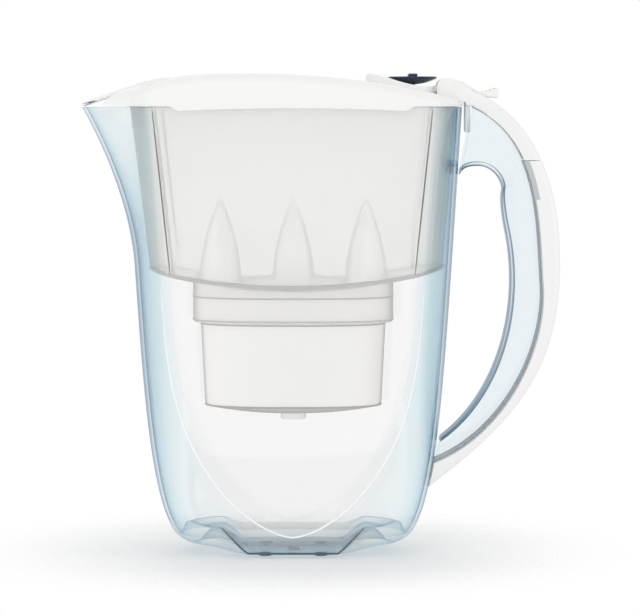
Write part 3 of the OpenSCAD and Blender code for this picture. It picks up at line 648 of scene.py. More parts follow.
def spout_out(jug, z):
    """Reach of the spout: R clip(1 - (rim - z) / drop, 0, 1)^1.8."""
    return jug.spout_reach * np.clip(1 - (jug.rim_z - np.asarray(z, float)) / jug.spout_drop, 0, 1) ** 1.8


def edge_in(z, r):
    """How far inward a bottom edge rounded by r lies at height z: r - sqrt(r^2 - (r - z)^2)."""
    d = np.clip(r - z, 0, r)
    return r - np.sqrt(r * r - d * d)


def jug_wall(jug, z, skin):
    """Rings (m, n, 3) of the jug's outside, or of its inside for skin > 0."""
    z = np.asarray(z, float)
    half_len, half_dep = jug_lengths(jug, z)
    e = skin + edge_in(z - skin - jug.foot_h, jug.edge_r - skin)
    half_u = panel(jug, z) * (1 - e / half_len)
    x, y = section(jug, half_len - e, half_len - e, half_dep - e, half_u, spout_out(jug, z))
    return with_lobes(jug, ring_at(x, y, column(z)))


def foot_rise(jug, x, high):
    """Rise of the base's edge towards its ends, fading out with the height above the foot."""
    return jug.lobe_h * ease((np.abs(x) - jug.plinth) / jug.lobe_run) * ease(1 - high / jug.lobe_fade)


def with_lobes(jug, rings):
    """The rings, with the base's edge lifted towards both ends."""
    rings[..., 2] += foot_rise(jug, rings[..., 0], rings[..., 2] - jug.foot_h)
    return rings


def bead(jug, rings):
    """Sets the broad sides back, but for a fine bead along the U ridge: |y| loses
    h (1 - exp(-(d / w)^2)), d from the U in X and Z."""
    z = np.concatenate([np.linspace(jug.panel_low, 30, 160), np.linspace(30.5, jug.rim_z, 160)])
    line = np.stack([panel(jug, z), z], axis=1)
    flat = np.stack([np.abs(rings[..., 0]), rings[..., 2]], axis=-1)
    near = [np.min(np.linalg.norm(row[:, None] - line[None], axis=-1), axis=1) for row in flat]
    loss = jug.bead_h * (1 - np.exp(-((np.array(near) / jug.bead_w) ** 2)))
    y = rings[..., 1]
    broad = np.abs(y) > 0.4 * np.abs(y).max(axis=1, keepdims=True)
    out = rings.copy()
    out[..., 1] -= np.sign(y) * loss * broad
    return out


def broad_side(jug, x, z):
    """Half depth of the crowned broad side: half depth at z - crown (x / half length)^2."""
    half_len, half_dep = jug_lengths(jug, z)
    return half_dep - jug.panel_crown * (x / half_len) ** 2


def ridge_highlight_tubes(jug):
    """Painted highlight: fine white tubes along the U ridge on both broad sides, through
    (panel(z), ridge's depth, z), down one side of the U and up the other."""
    low = jug.panel_low
    z = np.concatenate([np.linspace(low + 0.01, low + 1, 12), np.linspace(low + 1.5, 150, 110)])
    u = panel(jug, z)
    crest = broad_side(jug, u, z) - 0.95 * np.sqrt(jug.ridge_soft / 4)
    half = np.stack([u, crest, z + foot_rise(jug, u, z - jug.foot_h)], axis=1)
    return on_both_sides(thin_tube(chain(half[::-1], half * [-1, 1, 1], shared=0), jug.bead_r))


def plinth_shade_tubes(jug):
    """Painted shade: fine dark lines where the plinth's corners bend the light, down the wall,
    along the plinth and up again, kept inside the wall."""
    s = np.linspace(0, 1, 30)
    inside = 0.9
    low, high = jug.foot_h + inside, jug.foot_h + jug.corner_h
    flat = jug.corner_in - 1
    x = np.concatenate([-mix(jug.corner_out, jug.corner_in, s), np.linspace(-flat, flat, 49),
                        mix(jug.corner_in, jug.corner_out, s)])
    z = np.concatenate([mix(high, low, s), np.full(49, low), mix(low, high, s)])
    depth = broad_side(jug, x, z) - edge_in(z - jug.foot_h, jug.edge_r) - inside
    return on_both_sides(thin_tube(np.stack([x, depth, z], axis=1), jug.corner_r))


def underside(jug, ring, f, lift=0.0):
    """Rings inside the base's edge: beside the plinth the underside rises by arch_h."""
    f = column(f)
    x, y = ring[None, :, 0] * f, ring[None, :, 1] * f
    rise = jug.arch_h * ease((np.abs(x) - jug.plinth) / jug.plinth_run) * ease((1 - f) / 0.16)
    low = mix(jug.foot_h, ring[None, :, 2], ease((f - 0.8) / 0.2))
    return ring_at(x, y, low + rise + lift)


class PITCHER_OT_jug(bpy.types.Operator):
    """Builds the clear jug with its spout, its U-shaped ridge and its plinth"""

    bl_idname = "pitcher.jug"
    bl_label = "Jug"

    def execute(self, context):
        jug = settings("jug")
        edge = jug.edge_r * (1 - np.cos(quarter(9)))
        low = jug.foot_h + np.concatenate([edge, np.arange(jug.edge_r + 0.7, 24, 0.7)])
        spout_z = jug.rim_z - jug.spout_drop
        high = np.concatenate([low, np.linspace(26, spout_z, 52), np.linspace(spout_z + 2, jug.rim_z, 46)])
        outside = bead(jug, jug_wall(jug, high, 0))
        inside = jug_wall(jug, high[high > jug.foot_h + 5], jug.wall)
        f = 1 - np.linspace(0, 1, 24)[1:-1]
        under = underside(jug, outside[0], f)
        thick = inside[0, :, 2] - jug.foot_h - foot_rise(jug, inside[0, :, 0], 5)
        ground = underside(jug, inside[0], f, mix(thick, jug.floor_t, ease((1 - column(f)) / 0.2)))
        lip_r = 0.5
        a = np.linspace(0, math.pi, 7)[1:-1]
        lip = mix(outside[-1][None], inside[-1][None], ((1 - np.cos(a)) / 2)[:, None, None])
        lip[..., 2] = jug.rim_z + lip_r * (column(np.sin(a)) - 1)
        outside[-1, :, 2] -= lip_r
        inside[-1, :, 2] -= lip_r
        # One skin: out over the underside, up the outside, over the lip, down the inside to the floor
        shell = loft(under[::-1], outside, lip, inside[::-1], ground)
        # Faces below pale_h get the paler tints: painted light from the floor
        piece("jug_shell", [shell], "jug", "clear_jug", ["jug_body"], sharp=50,
              below=("clear_base_lit", jug.pale_h))
        # Painted highlight: white lines along the crest of the U ridge
        piece("ridge_highlight_line", ridge_highlight_tubes(jug), "jug", "ridge")
        # Painted shade: dark lines where the plinth's corners bend the light
        piece("plinth_shade_lines", plinth_shade_tubes(jug), "jug", "plinth_shade")
        return {"FINISHED"}


class PITCHER_OT_feet(bpy.types.Operator):
    """Builds the small pads under the plinth"""

    bl_idname = "pitcher.feet"
    bl_label = "Feet"

    def execute(self, context):
        jug = settings("jug")
        r, top, hub, edge = jug.foot_r, jug.foot_h + 0.1, 0.4, 0.5
        round_edge = [r - edge, edge] + edge * circle(quarter(6) - math.pi / 2)
        profile = np.concatenate([[[hub, 0]], round_edge, [[r, top], [hub, top]]])
        spots = [(0, 0)] + [(sx * jug.foot_x, sy * jug.foot_y) for sx in (-1, 1) for sy in (-1, 1)]
        parts = [lathe(profile, 48, (x, y, 0)) for x, y in spots]
        piece("foot_pads", parts, "jug", "foot_pad", ["base_feet"])
        return {"FINISHED"}


# Handle


def handle_lines(jug):
    """The handle's side curves: open side of the core, outer skin, and finger hole."""
    end = rim_end(jug)
    core = chain(
        bezier(end + [[5.7, -0.7], [44.6, -18.5], [42.1, -66.3], [44.8, -102.5]], 60),
        bezier(end + [[44.8, -102.5], [45.5, -140.8], [20.6, -184], [-15.7, -198.1]], 60),
    )
    outer = chain(
        bezier(end + [[6.4, 8.5], [41.4, -5.2], [53.9, -45], [54.6, -80.1]], 60),
        bezier(end + [[54.6, -80.1], [57.2, -145.8], [31.5, -174.3], [-18.8, -212.8]], 60),
    )
    hole = chain(
        bezier(end + [[-1.4, -37.5], [-0.2, -33.7], [4, -32.7], [7.6, -32.8]], 16),
        bezier(end + [[7.6, -32.8], [15.1, -32.1], [22.1, -38.6], [22.7, -45.9]], 20),
        bezier(end + [[22.7, -45.9], [21.4, -49], [22, -58], [24.5, -70]], 16),
        bezier(end + [[24.5, -70], [33, -112], [21, -160], [-11.5, -184.8]], 60),
    )
    return core, outer, hole


class PITCHER_OT_handle(bpy.types.Operator):
    """Builds the handle's clear channel, white cover and the grey strip of painted shade between them"""

    bl_idname = "pitcher.handle"
    bl_label = "Handle"

    def execute(self, context):
        jug, handle = settings("jug"), settings("handle")
        core, outer, hole = handle_lines(jug)
        half_w = handle.width / 2
        split = jug.rim_z - handle.split_drop - handle.split_gap

        def clear_of(path, gap):
            """Even steps along a path that is kept outside the jug's end by gap."""
            path = resample(path, handle.steps)
            half_len, _ = jug_lengths(jug, path[:, 1])
            return np.stack([np.maximum(path[:, 0], half_len + gap), path[:, 1]], axis=1)

        bite, gap = -0.9, 0.1
        clear = channel(clear_of(hole, bite), clear_of(core, bite), half_w, handle.core_wall, 3)
        piece("handle_channel", [clear], "jug", "clear_handle", ["handle_core"], sharp=40)
        face = clear_of(between(shift(core, handle.seam_t), 0, split), gap)
        skin = clear_of(between(shift(outer, -0.03), 0, split), gap)
        cover = channel(skin, face, half_w, handle.cover_wall, handle.round_r)
        piece("handle_shell", [cover], "jug", "white_moulded", ["handle_cover"])
        strip = clear_of(between(core, 0, split), gap)
        low = jug.rim_z - handle.latch_low
        latch_in = resample(between(core, low, split), 24)
        latch_out = resample(between(shift(core, handle.latch_t), low, split), 24)
        # Painted shade: grey strips in the groove between core and cover, and along the latch below the split
        seam = slab(np.concatenate([face, strip[::-1]]), half_w - 0.05, 0.15, 3)
        latch = slab(np.concatenate([latch_out, latch_in[::-1]]), half_w + 0.12, 0.25, 3)
        piece("seam_shade_strip", [seam, latch], "jug", "grey_strip", ["handle_seam"])
        return {"FINISHED"}


# Funnel


def funnel_top(jug, funnel):
    """Half length and half depth of the funnel at the rim."""
    gap = jug.wall + funnel.gap
    return jug.half_len - gap, jug.half_dep - gap


def funnel_corner(jug, funnel, s):
    """Half length of the funnel's broad side, s of the way down."""
    return panel(jug, jug.rim_z - s * funnel.depth) - funnel.ridge_in * (1 + s)


def funnel_outline(jug, funnel, s, skin):
    """Outlines of the funnel, s of the way down, as x and y rows."""
    s = np.asarray(s, float)
    half_len, half_dep = funnel_top(jug, funnel)
    front, rear = half_len - funnel.draw_front * s, half_len - funnel.draw_rear * s
    side = half_dep - funnel.draw_side * s
    return section(jug, front - skin, rear - skin, side - skin, funnel_corner(jug, funnel, s) - skin, 0)


def funnel_floor(jug, funnel, x):
    """Height of the boat-shaped floor: rim - depth - sag (1 - (x / L)^2)."""
    return jug.rim_z - funnel.depth - funnel.sag * (1 - (x / funnel_top(jug, funnel)[0]) ** 2)


def well_outline(jug, cartridge, grow):
    """The well's outline, grown by grow, with the same columns as the funnel."""
    t = angles(jug, column([math.radians(45)]))[0]
    out = cartridge.flange + cartridge.gap + grow
    return superoval(cartridge.half_len + out, cartridge.half_dep + out, t, OVAL_POWER)


class PITCHER_OT_funnel(bpy.types.Operator):
    """Builds the milky funnel: flange, walls, boat-shaped floor and well"""

    bl_idname = "pitcher.funnel"
    bl_label = "Funnel"

    def execute(self, context):
        jug, funnel, cartridge = settings("jug"), settings("funnel"), settings("cartridge")
        ledge = jug.rim_z - funnel.ledge_drop
        wall = funnel.wall

        def walls(s, skin):
            """Walls: z = mix(rim, the floor's height + skin, s). Past the corners y steps in by step_t."""
            x, y = funnel_outline(jug, funnel, s, skin)
            s = column(s)
            past = np.abs(x) - (funnel_corner(jug, funnel, s) - skin)
            y = y - np.sign(y) * funnel.step_t * ease(past / 0.7) * ease(s / 0.04)
            return ring_at(x, y, mix(jug.rim_z, funnel_floor(jug, funnel, x) + skin, s))

        def floor(f, skin):
            """Floor: mix(the walls' outline, the well's, f), at the floor's height - 1.5 f + skin."""
            f = column(f)
            ax, ay = funnel_outline(jug, funnel, [1.0], skin)
            bx, by = well_outline(jug, cartridge, wall - skin)
            x = mix(ax, bx, f)
            return ring_at(x, mix(ay, by, f), funnel_floor(jug, funnel, x) - 1.5 * f + skin)

        def well(grow, z):
            """The well's outline, grown by grow, at height z."""
            return ring_at(*well_outline(jug, cartridge, grow), z)

        def mouth(skin, z):
            """The walls' outline at the rim, set in by skin, at height z."""
            return ring_at(*funnel_outline(jug, funnel, [0.0], skin), z)

        s = np.concatenate([np.linspace(0, 0.93, 40), [0.955, 0.975]])
        f = np.concatenate([[0.025, 0.06], np.linspace(0.1, 1, 16)])
        half_len, half_dep = jug.half_len - funnel.flange_in, jug.half_dep - funnel.flange_in
        x, y = section(jug, half_len, half_len, half_dep, jug.panel_half - 1, 0)
        low = jug.rim_z + funnel.seat_gap
        top = low + funnel.flange_t
        under = ledge - funnel.ledge_t
        shell = loft(
            walls(s, 0), floor(f, 0),
            well(wall, under + 1.2), well(wall - 0.5, under + 0.2), well(wall - 1.1, under),
            well(-cartridge.flange, under), well(-cartridge.flange, ledge), well(0, ledge),
            floor(f[::-1], wall), walls(s[::-1], wall),
            mouth(wall, top), ring_at(x, y, top), ring_at(x, y, low), mouth(0, low),
            loop=True,
        )
        well_top = jug.rim_z - funnel.depth - funnel.sag - 2.2
        shell = piece("funnel_shell", [shell], "funnel_unit", "milky", ["funnel"],
                      below=("milky_thick", well_top))
        # Real milky plastic lets so much light through that it hardly shades what is behind it
        shell.visible_shadow = False

        # Painted shade: a dark line runs down each corner, through the ring point next to the corner at y > 0
        s = np.linspace(0.01, 0.985, 60)
        corner = funnel_corner(jug, funnel, s)
        ring = walls(s, 0)
        away = np.abs(ring[..., 0] - column(corner)) + 1e3 * (ring[..., 1] < 0)
        away = away + 1e3 * (np.abs(ring[..., 0]) > column(corner))
        path = ring[np.arange(len(s)), np.argmin(away, axis=1)]
        path[:, 0] = corner + 0.3
        lines = [thin_tube(path * [side, 1, 1], funnel.line_r) for side in (1, -1)]
        piece("corner_shade_lines", lines + [mirrored(line) for line in lines], "funnel_unit", "milky_corner_shade")
        # Painted shade: grey rings round the floor's edge and round the well
        bands = [hoop(walls([0.993], 0.5), funnel.band_r), hoop(well(wall, ledge - 0.3), funnel.line_r),
                 hoop(well(wall, ledge + 12.5), funnel.line_r)]
        piece("floor_shade_band", bands, "funnel_unit", "milky_band_shade")
        return {"FINISHED"}


class PITCHER_OT_grips(bpy.types.Operator):
    """Builds the ribbed grips at the funnel's two ends"""

    bl_idname = "pitcher.grips"
    bl_label = "Funnel grips"

    def execute(self, context):
        jug, funnel = settings("jug"), settings("funnel")
        face = funnel_top(jug, funnel)[0] - funnel.wall
        back, half_w = face - funnel.grip_t, funnel.grip_w / 2
        rib = funnel.grip_w / (2 * funnel.grip_ribs - 1)
        z1 = jug.rim_z - 1
        z0 = z1 - funnel.grip_h
        parts = []
        for side in (-1, 1):
            x0, x1 = sorted((side * back, side * (face + 0.5)))
            parts.append(block((x0, -half_w, z0), (x1, half_w, z1), 0.6))
            x0, x1 = sorted((side * (back - 1), side * (back + 1)))
            for y0 in -half_w + 2 * rib * np.arange(funnel.grip_ribs):
                parts.append(block((x0, y0, z0), (x1, y0 + rib, z1), 0.5))
        piece("grip_blocks", parts, "funnel_unit", "white_moulded", ["funnel_grips"])
        return {"FINISHED"}


# Cartridge


class PITCHER_OT_cartridge(bpy.types.Operator):
    """Builds the filter cartridge: shell, cap, towers, pads, screens, bed, nozzle and seal"""

    bl_idname = "pitcher.cartridge"
    bl_label = "Cartridge"

    def execute(self, context):
        jug, funnel, c = settings("jug"), settings("funnel"), settings("cartridge")
        ledge = jug.rim_z - funnel.ledge_drop
        bottom = ledge - c.drop
        rest = ledge + c.seal_t + c.seat_gap
        flange_top = rest + c.flange_t
        cap_z, cap_top = flange_top + c.seat_gap, ledge + c.cap_h
        t = turn(144)

        def level(grow, s, z, f=1.0):
            """Rings at height z, s of the way down the shell's draw, at the share f of their size."""
            grow = grow - c.draw * column(s)
            x, y = superoval(c.half_len + grow, c.half_dep + grow, t, OVAL_POWER)
            return ring_at(x * column(f), y * column(f), column(z))

        def side(grow, s):
            """The shell's side: z = mix(ledge - 1, bottom, s)."""
            return level(grow, s, mix(ledge - 1, bottom, s))

        def crown(grow, f, up):
            """The shell's bottom: z = bottom - crown (1 - f^2) + up."""
            return level(grow, 1, bottom - c.crown * (1 - f * f) + up, f)

        def dome(f, skin):
            """The cap: z = top - skin + dome (1 - f^2)^2."""
            return level(c.flange - 0.6 - skin, 0, cap_top - skin + c.dome_h * (1 - f * f) ** 2, f)

        def tower(s, skin):
            """A pointed tower: ovals 1 - s^2 of its foot's size, s of the way up, set in by skin."""
            shrink = 1 - column(s) ** 2
            x, y = superoval(c.tower_half_w * shrink - skin, c.tower_half_dep * shrink - skin, turn(64), 2)
            return ring_at(x, y, cap_top - 1 + column(s) * (c.tower_h + 1) - skin / 2)

        s = np.linspace(0, 0.95, 14)
        f = np.concatenate([[0.985, 0.965, 0.94], np.linspace(0.9, 0.06, 16)])
        shell = loft(
            crown(0, f[::-1], 0), side(0, s[::-1]), level(0, 0, rest),
            level(c.flange, 0, [rest, flange_top - 0.4, flange_top]),
            level(-c.wall, 0, flange_top), side(-c.wall, s), crown(-c.wall, f, c.wall),
        )
        piece("shell_tub", [shell], "cartridge", "warm_shell", ["cartridge_shell"])
        # Painted shade: grey rings at the shell's bottom and below its top edge
        edges = [hoop(level(-0.2, 1, bottom + 0.4), 0.5), hoop(level(0, 0.02, ledge - 2.6), 0.3)]
        piece("shell_edge_shade", edges, "cartridge", "warm_edge_shade")

        f = np.concatenate([[1, 0.985, 0.96], np.linspace(0.93, 0.05, 20)])
        edge = c.flange
        cap = loft(dome(f[::-1], 0), level(edge, 0, [cap_top - 3, cap_z]), level(edge - c.wall, 0, cap_z),
                   dome(f, c.wall))
        piece("cap_dome", [cap], "cartridge", "warm_cap", ["cartridge_cap"])

        s = 1 - (1 - np.linspace(0, 0.985, 26)) ** 1.2
        base = tower(0, c.wall)
        base[..., 2] = cap_top - 1
        one = loft(tower(s[::-1], 0), base, tower(s[(s > 0.05) & (s < 0.87)], c.wall))
        row = [moved(one, [i * c.tower_pitch, 0, 0]) for i in (-1, 0, 1)]
        piece("tower_row", row, "cartridge", "warm_cap", ["cartridge_towers"])

        r0, r1, high, low = c.pad_r - 0.2, c.pad_r + 1.2, 2.4, 0.4
        rim = np.array([[r0, high], [r1, high], [r1, low], [r0, low]])
        pad_y, pad_z = c.tower_half_dep + 1, cap_top + c.pad_up
        pads = [rod(0, pad_z, 3, c.pad_r, 0.8, y=sy * pad_y) for sy in (-1, 1)]
        rims = [lathe(rim * [1, sy], 64, (0, sy * pad_y, pad_z), axis="Y", loop=True) for sy in (-1, 1)]
        piece("pad_discs", pads + rims, "cartridge", "warm_pad", ["pull_pads"])

        sheet = level(-c.wall - 0.3, 0, [cap_z - 1.2, cap_z - 0.5])
        piece("inlet_mesh", [loft(sheet)], "cartridge", "screen", ["inlet_screen"])
        inner = -c.wall - 0.4
        bed = loft(level(inner, 0, rest + 0.6), side(inner, np.linspace(0, 0.85, 12)),
                   crown(inner, np.array([0.94, 0.8, 0.5, 0.1]), c.wall + 2.6))
        piece("bed", [bed], "cartridge", "granules", ["filter_bed"])
        x, y = superoval(c.screen_half_len, c.screen_half_dep, t, 2)
        base = bottom - 0.6 * c.crown + c.wall
        disc = [ring_at(x * k, y * k, base + up) for k, up in ((0.97, 0.3), (1, 0.5), (1, 0.7), (0.97, 0.9))]
        piece("outlet_mesh", [loft(*disc)], "cartridge", "screen", ["outlet_screen"])

        r, hub = c.nozzle_r, 0.3
        root = bottom - c.crown
        tip = root - c.nozzle_h
        profile = [[hub, root], [r - 2, root], [r - 2, tip + 0.4], [r - 1.6, tip], [r - 0.5, tip],
                   [r, tip + 0.5], [r, root + 1.6], [hub, root + 1.6]]
        piece("nozzle", [lathe(profile)], "cartridge", "warm_cap", ["outlet_nozzle"])

        inside, outside = well_outline(jug, c, 0.2 - c.flange), well_outline(jug, c, -c.gap)
        seal = loft(ring_at(*inside, ledge), ring_at(*outside, ledge), ring_at(*outside, ledge + c.seal_t),
                    ring_at(*inside, ledge + c.seal_t), loop=True)
        piece("seal_ring", [seal], "cartridge", "seal", ["well_seal"])
        return {"FINISHED"}


# Lid


def arch(lid, jug, x):
    """Height of the lid's shoulder line above the rim: crown - rear drop u^2 behind the peak, and
    crown - front drop u^3.5 before it, u = distance from the peak / distance to that end."""
    rear = jug.half_len + lid.over - lid.peak_x
    front = jug.half_len - lid.front_in + lid.peak_x
    back = lid.crown - lid.rear_drop * ((x - lid.peak_x) / rear) ** 2
    fore = lid.crown - lid.front_drop * (np.maximum(lid.peak_x - x, 0) / front) ** 3.5
    return np.where(x > lid.peak_x, back, fore)


def spout_line(lid, jug, x):
    """Height of the line from the spout's tip to the spout cover's hinge."""
    tip = jug.half_len + jug.spout_reach
    hinge = jug.half_len - lid.cover_hinge_in
    return 1.9 + (x + tip) * (lid.cover_hinge_h + 0.6) / (tip - hinge)


def lid_top(lid, jug, x, y):
    """Height of the lid's top above the rim, blended from the arch to the spout's line."""
    f = ease((-60 - x) / 20) * (1 - ease((np.abs(y) - 16) / 18))
    return np.maximum(mix(arch(lid, jug, np.maximum(x, -jug.half_len)), spout_line(lid, jug, x), f), 3.3)


def lid_outline(lid, jug):
    """The lid's outside, with the spout's part, as x and y rows."""
    half_len = jug.half_len + lid.over
    return section(jug, half_len, half_len, jug.half_dep + lid.over, jug.panel_half, jug.spout_reach)


def fill_outline(lid, jug, grow):
    """The filling opening's outline, grown by grow."""
    t = angles(jug, column([math.radians(33)]))
    half_len = (lid.fill_rear - lid.fill_front) / 2
    x, y = superoval(half_len + grow, lid.fill_half_dep + grow, t, 3.4)
    return fill_middle(lid) + x, y


def fill_middle(lid):
    """X of the filling opening's middle."""
    return (lid.fill_front + lid.fill_rear) / 2


def flange_top(funnel):
    """Height above the rim where the lid rests on the funnel."""
    return 2 * funnel.seat_gap + funnel.flange_t


# Shares of the way from the lid's outside to the filling opening, and how far the lid's top lies
# below its full height there
SHOULDER_IN = (0, 0.002, 0.01, 0.03, 0.06, 0.1, 0.14, 0.18, 0.23, 0.28, 0.34, 0.95, 0.985, 0.998)
SHOULDER_DOWN = (5.0, 4.6, 4.2, 3.4, 2.5, 1.7, 1.1, 0.7, 0.35, 0.12, 0, 0.6, 0.7, 1.1)


class PITCHER_OT_lid(bpy.types.Operator):
    """Builds the lid's frame with its shoulder band, and the filling lip"""

    bl_idname = "pitcher.lid"
    bl_label = "Lid frame"

    def execute(self, context):
        jug, lid, funnel = settings("jug"), settings("lid"), settings("funnel")
        rim = jug.rim_z
        seat = flange_top(funnel)
        ax, ay = lid_outline(lid, jug)
        bx, by = fill_outline(lid, jug, 0)
        slot_x = -jug.half_len + lid.cover_hinge_in + 3.2
        slot_w = lid.cover_half_w + 0.5
        lever_x = jug.half_len - 1.5
        lever_w = lid.lever_half_w + lid.ear_gap

        def notched(x, y):
            """Cuts the slots for the spout cover and for the lever."""
            x = np.where((np.abs(y) < slot_w) & (x < slot_x), slot_x, x)
            return np.where((np.abs(y) < lever_w) & (x > lever_x), lever_x, x)

        def top(f, down):
            """The top, f of the way from the outside to the opening, at its full height less down."""
            f = column(f)
            x, y = mix(ax, bx, f), mix(ay, by, f)
            z = np.maximum(lid_top(lid, jug, x, y) - column(down), seat + 0.2)
            return ring_at(notched(x, y), y, rim + z)

        def low(f, up, hang=0.0):
            """Level rings, up above the rim. The broad sides hang by hang (0.45 + 0.55 (x / skirt)^2)."""
            x, y = mix(ax, bx, f), mix(ay, by, f)
            broad = ease((np.abs(y) - 30) / 12) * (1 - ease((np.abs(x) - lid.skirt_half) / 5))
            drop = hang * broad * (0.45 + 0.55 * (x / lid.skirt_half) ** 2)
            return ring_at(notched(x, y), y, rim + up - drop)

        def lip(grow, down):
            """The opening's outline, grown by grow, 0.3 + down below the flap."""
            x, y = fill_outline(lid, jug, grow)
            return ring_at(x, y, rim + arch(lid, jug, x) - 0.8 - lid.flap_t - 0.3 - down)

        f = np.array([*SHOULDER_IN[:11], 0.42, 0.5, 0.6, 0.7, 0.8, 0.9, *SHOULDER_IN[11:]])
        down = np.interp(f, SHOULDER_IN, SHOULDER_DOWN)
        inner = (f > 0.08) & (f < 0.9)
        w = lid.lip_w
        shell = loft(
            low(0.004, 0.4, lid.skirt_h), low(0.0, 0.8, lid.skirt_h), top(f, down),
            lip(0, 0), lip(0.3 - w, 0), lip(-w, 0.3), lip(-w, 1.2), lip(0.3 - w, 1.5), lip(1.5, 1.5),
            top(f[inner][::-1], down[inner][::-1] + lid.skin),
            low(0.08, seat), low(0.035, seat), low(0.035, 0.4), low(0.008, 0.4),
            loop=True,
        )
        piece("lid_shell", [shell], "lid", "white_moulded", ["lid_frame"], sharp=38)
        return {"FINISHED"}


class PITCHER_OT_spout_cover(bpy.types.Operator):
    """Builds the spout cover with its barrel, pin and bearings"""

    bl_idname = "pitcher.spout_cover"
    bl_label = "Spout cover"

    def execute(self, context):
        jug, lid, funnel = settings("jug"), settings("lid"), settings("funnel")
        rim = jug.rim_z
        hinge_x, hinge_z = -jug.half_len + lid.cover_hinge_in, rim + lid.cover_hinge_h
        w = lid.cover_half_w

        # The plate: v runs from the spout's tip to the hinge. Its top is the spout's line, which
        # falls by 0.9 (y / w)^6 to the sides, and its front edge is rounded
        y = w * np.sin(np.linspace(-math.pi / 2, math.pi / 2, 41))
        ax, ay = lid_outline(lid, jug)
        front = ax[0] < -jug.half_len
        order = np.argsort(ay[0][front])
        tip_x = np.interp(y, ay[0][front][order], ax[0][front][order])
        v = column(np.concatenate([[0, 0.004, 0.012], np.linspace(0.03, 1, 30)]))
        x = mix(np.maximum(tip_x, -jug.half_len - jug.spout_reach - 0.3), hinge_x + 0.5, v)
        line = rim + spout_line(lid, jug, x) + 0.5
        side = 0.9 * (np.abs(y) / w) ** 6
        top = line - side - 0.9 * (1 - np.minimum(v / 0.012, 1)) ** 2
        under = np.minimum(np.maximum(line - 2.4 + 0.4 * side, rim + 0.5), top - 0.4)
        plate = loft(np.concatenate([ring_at(x, y, top), ring_at(x, y, under)[:, ::-1]], axis=1))
        barrel = rod(hinge_x, hinge_z, w, 2.4, 0.4)
        piece("spout_flap_plate", [plate, barrel], "spout_flap", "white_moulded", ["spout_cover"])
        pin = rod(hinge_x, hinge_z, w + 3, lid.pin_r - 0.4, 0.3)
        piece("spout_hinge_pin", [pin], "lid", "ground_steel", ["spout_pin"])

        base = rim + flange_top(funnel) + 0.1
        r = 3
        arc = [hinge_x, hinge_z - 1.3] + r * circle(np.linspace(0, math.pi, 17))
        outline = np.concatenate([[[hinge_x - r, base], [hinge_x + r, base]], arc])
        bearings = [slab(outline, 1.5, 0.4, y=sy * (w + 1.9)) for sy in (-1, 1)]
        piece("bearing_blocks", bearings, "lid", "white_moulded", ["spout_bearings"])
        return {"FINISHED"}


class PITCHER_OT_rear_cap(bpy.types.Operator):
    """Builds the lid's tail over the handle, its two ears and tongues, and the hinge pin"""

    bl_idname = "pitcher.rear_cap"
    bl_label = "Rear cap"

    def execute(self, context):
        jug, lid, handle = settings("jug"), settings("lid"), settings("handle")
        core, outer, _ = handle_lines(jug)
        half_w = handle.width / 2
        lever_w = lid.lever_half_w + lid.ear_gap
        split = jug.rim_z - handle.split_drop + handle.split_gap
        end = rim_end(jug)
        face = between(shift(core, 0.5), split, np.inf)
        skin = between(outer, split, np.inf)
        slot_end = jug.half_len + 22
        k, j = np.argmax(skin[:, 0] > slot_end - 0.5), np.argmax(face[:, 0] > slot_end - 9)
        back, open_side = resample(skin[k:], 50), resample(face[j:], 50)
        lower = channel(back, open_side, half_w, handle.cover_wall, handle.round_r)
        nose = end + [[-14.3, 12.4], [-13.8, 13.9], [-12.6, 15.2], [-11, 15.9], [-9, 16.1], [-6, 15.8],
                      [-3, 14.8], [0, 13.2], [3, 11.2]]
        foot = end + [[-14.3, 2.6], [-6, 2.6], [1.4, 2.6], [2, 0.5], [6, 0.5]]

        def led_on(line, path):
            """120 even points along both, and one more past the end, which hides in the lower part."""
            points = resample(chain(line, path, shared=0), 120)
            return chain(points, 1.15 * points[-1:] - 0.15 * points[-9:-8], shared=0)

        low, high = led_on(foot, face[: j + 1]), led_on(nose, skin[: k + 1])
        tuck = np.append(np.zeros(120), 0.3)
        ear = strap(low, high, lever_w, half_w - tuck, 0.9)
        tongue = block((end[0] + 1.5, lever_w, end[1] - 14), (end[0] + 4.1, lever_w + 0.8, end[1] + 1), 0.25)
        parts = [lower, *on_both_sides(ear), *on_both_sides(tongue)]
        piece("tail_cap", parts, "lid", "white_moulded", ["rear_cap"])
        pin = rod(end[0] - lid.hinge_in, end[1] + lid.hinge_h, half_w + 0.25, lid.pin_r, 0.4)
        piece("hinge_pin", [pin], "lid", "white_moulded", ["flap_pin"])
        return {"FINISHED"}


# Flap and dial

# Top of the dial's housing along the pitcher: from the housing's middle, and above the rim
HOUSING_TOP = ((-20.5, 16.0), (-19.6, 17.9), (-18.2, 18.7), (-16, 18.5), (-14, 18), (-8, 16.5), (-1.8, 14.4),
               (3, 13.1), (7, 12.2), (12.5, 11.6), (20.5, 11.4))


def dial_middle(jug, lid, dial):
    """X of the dial's middle."""
    return jug.half_len - lid.hinge_in - dial.inset


def bowl_top(jug, dial):
    """Height of the dish's flat top, on which the disc turns."""
    return jug.rim_z + dial.top_h - dial.disc_t


def bowl(jug, dial, r):
    """Height of the bowl's round underside: top + R - depth - sqrt(R^2 - r^2), with
    R = (radius^2 + depth^2) / (2 depth)."""
    depth = dial.depth - dial.disc_t
    big_r = (dial.radius**2 + depth**2) / (2 * depth)
    return bowl_top(jug, dial) + big_r - depth - np.sqrt(big_r**2 - np.minimum(r, dial.radius) ** 2)


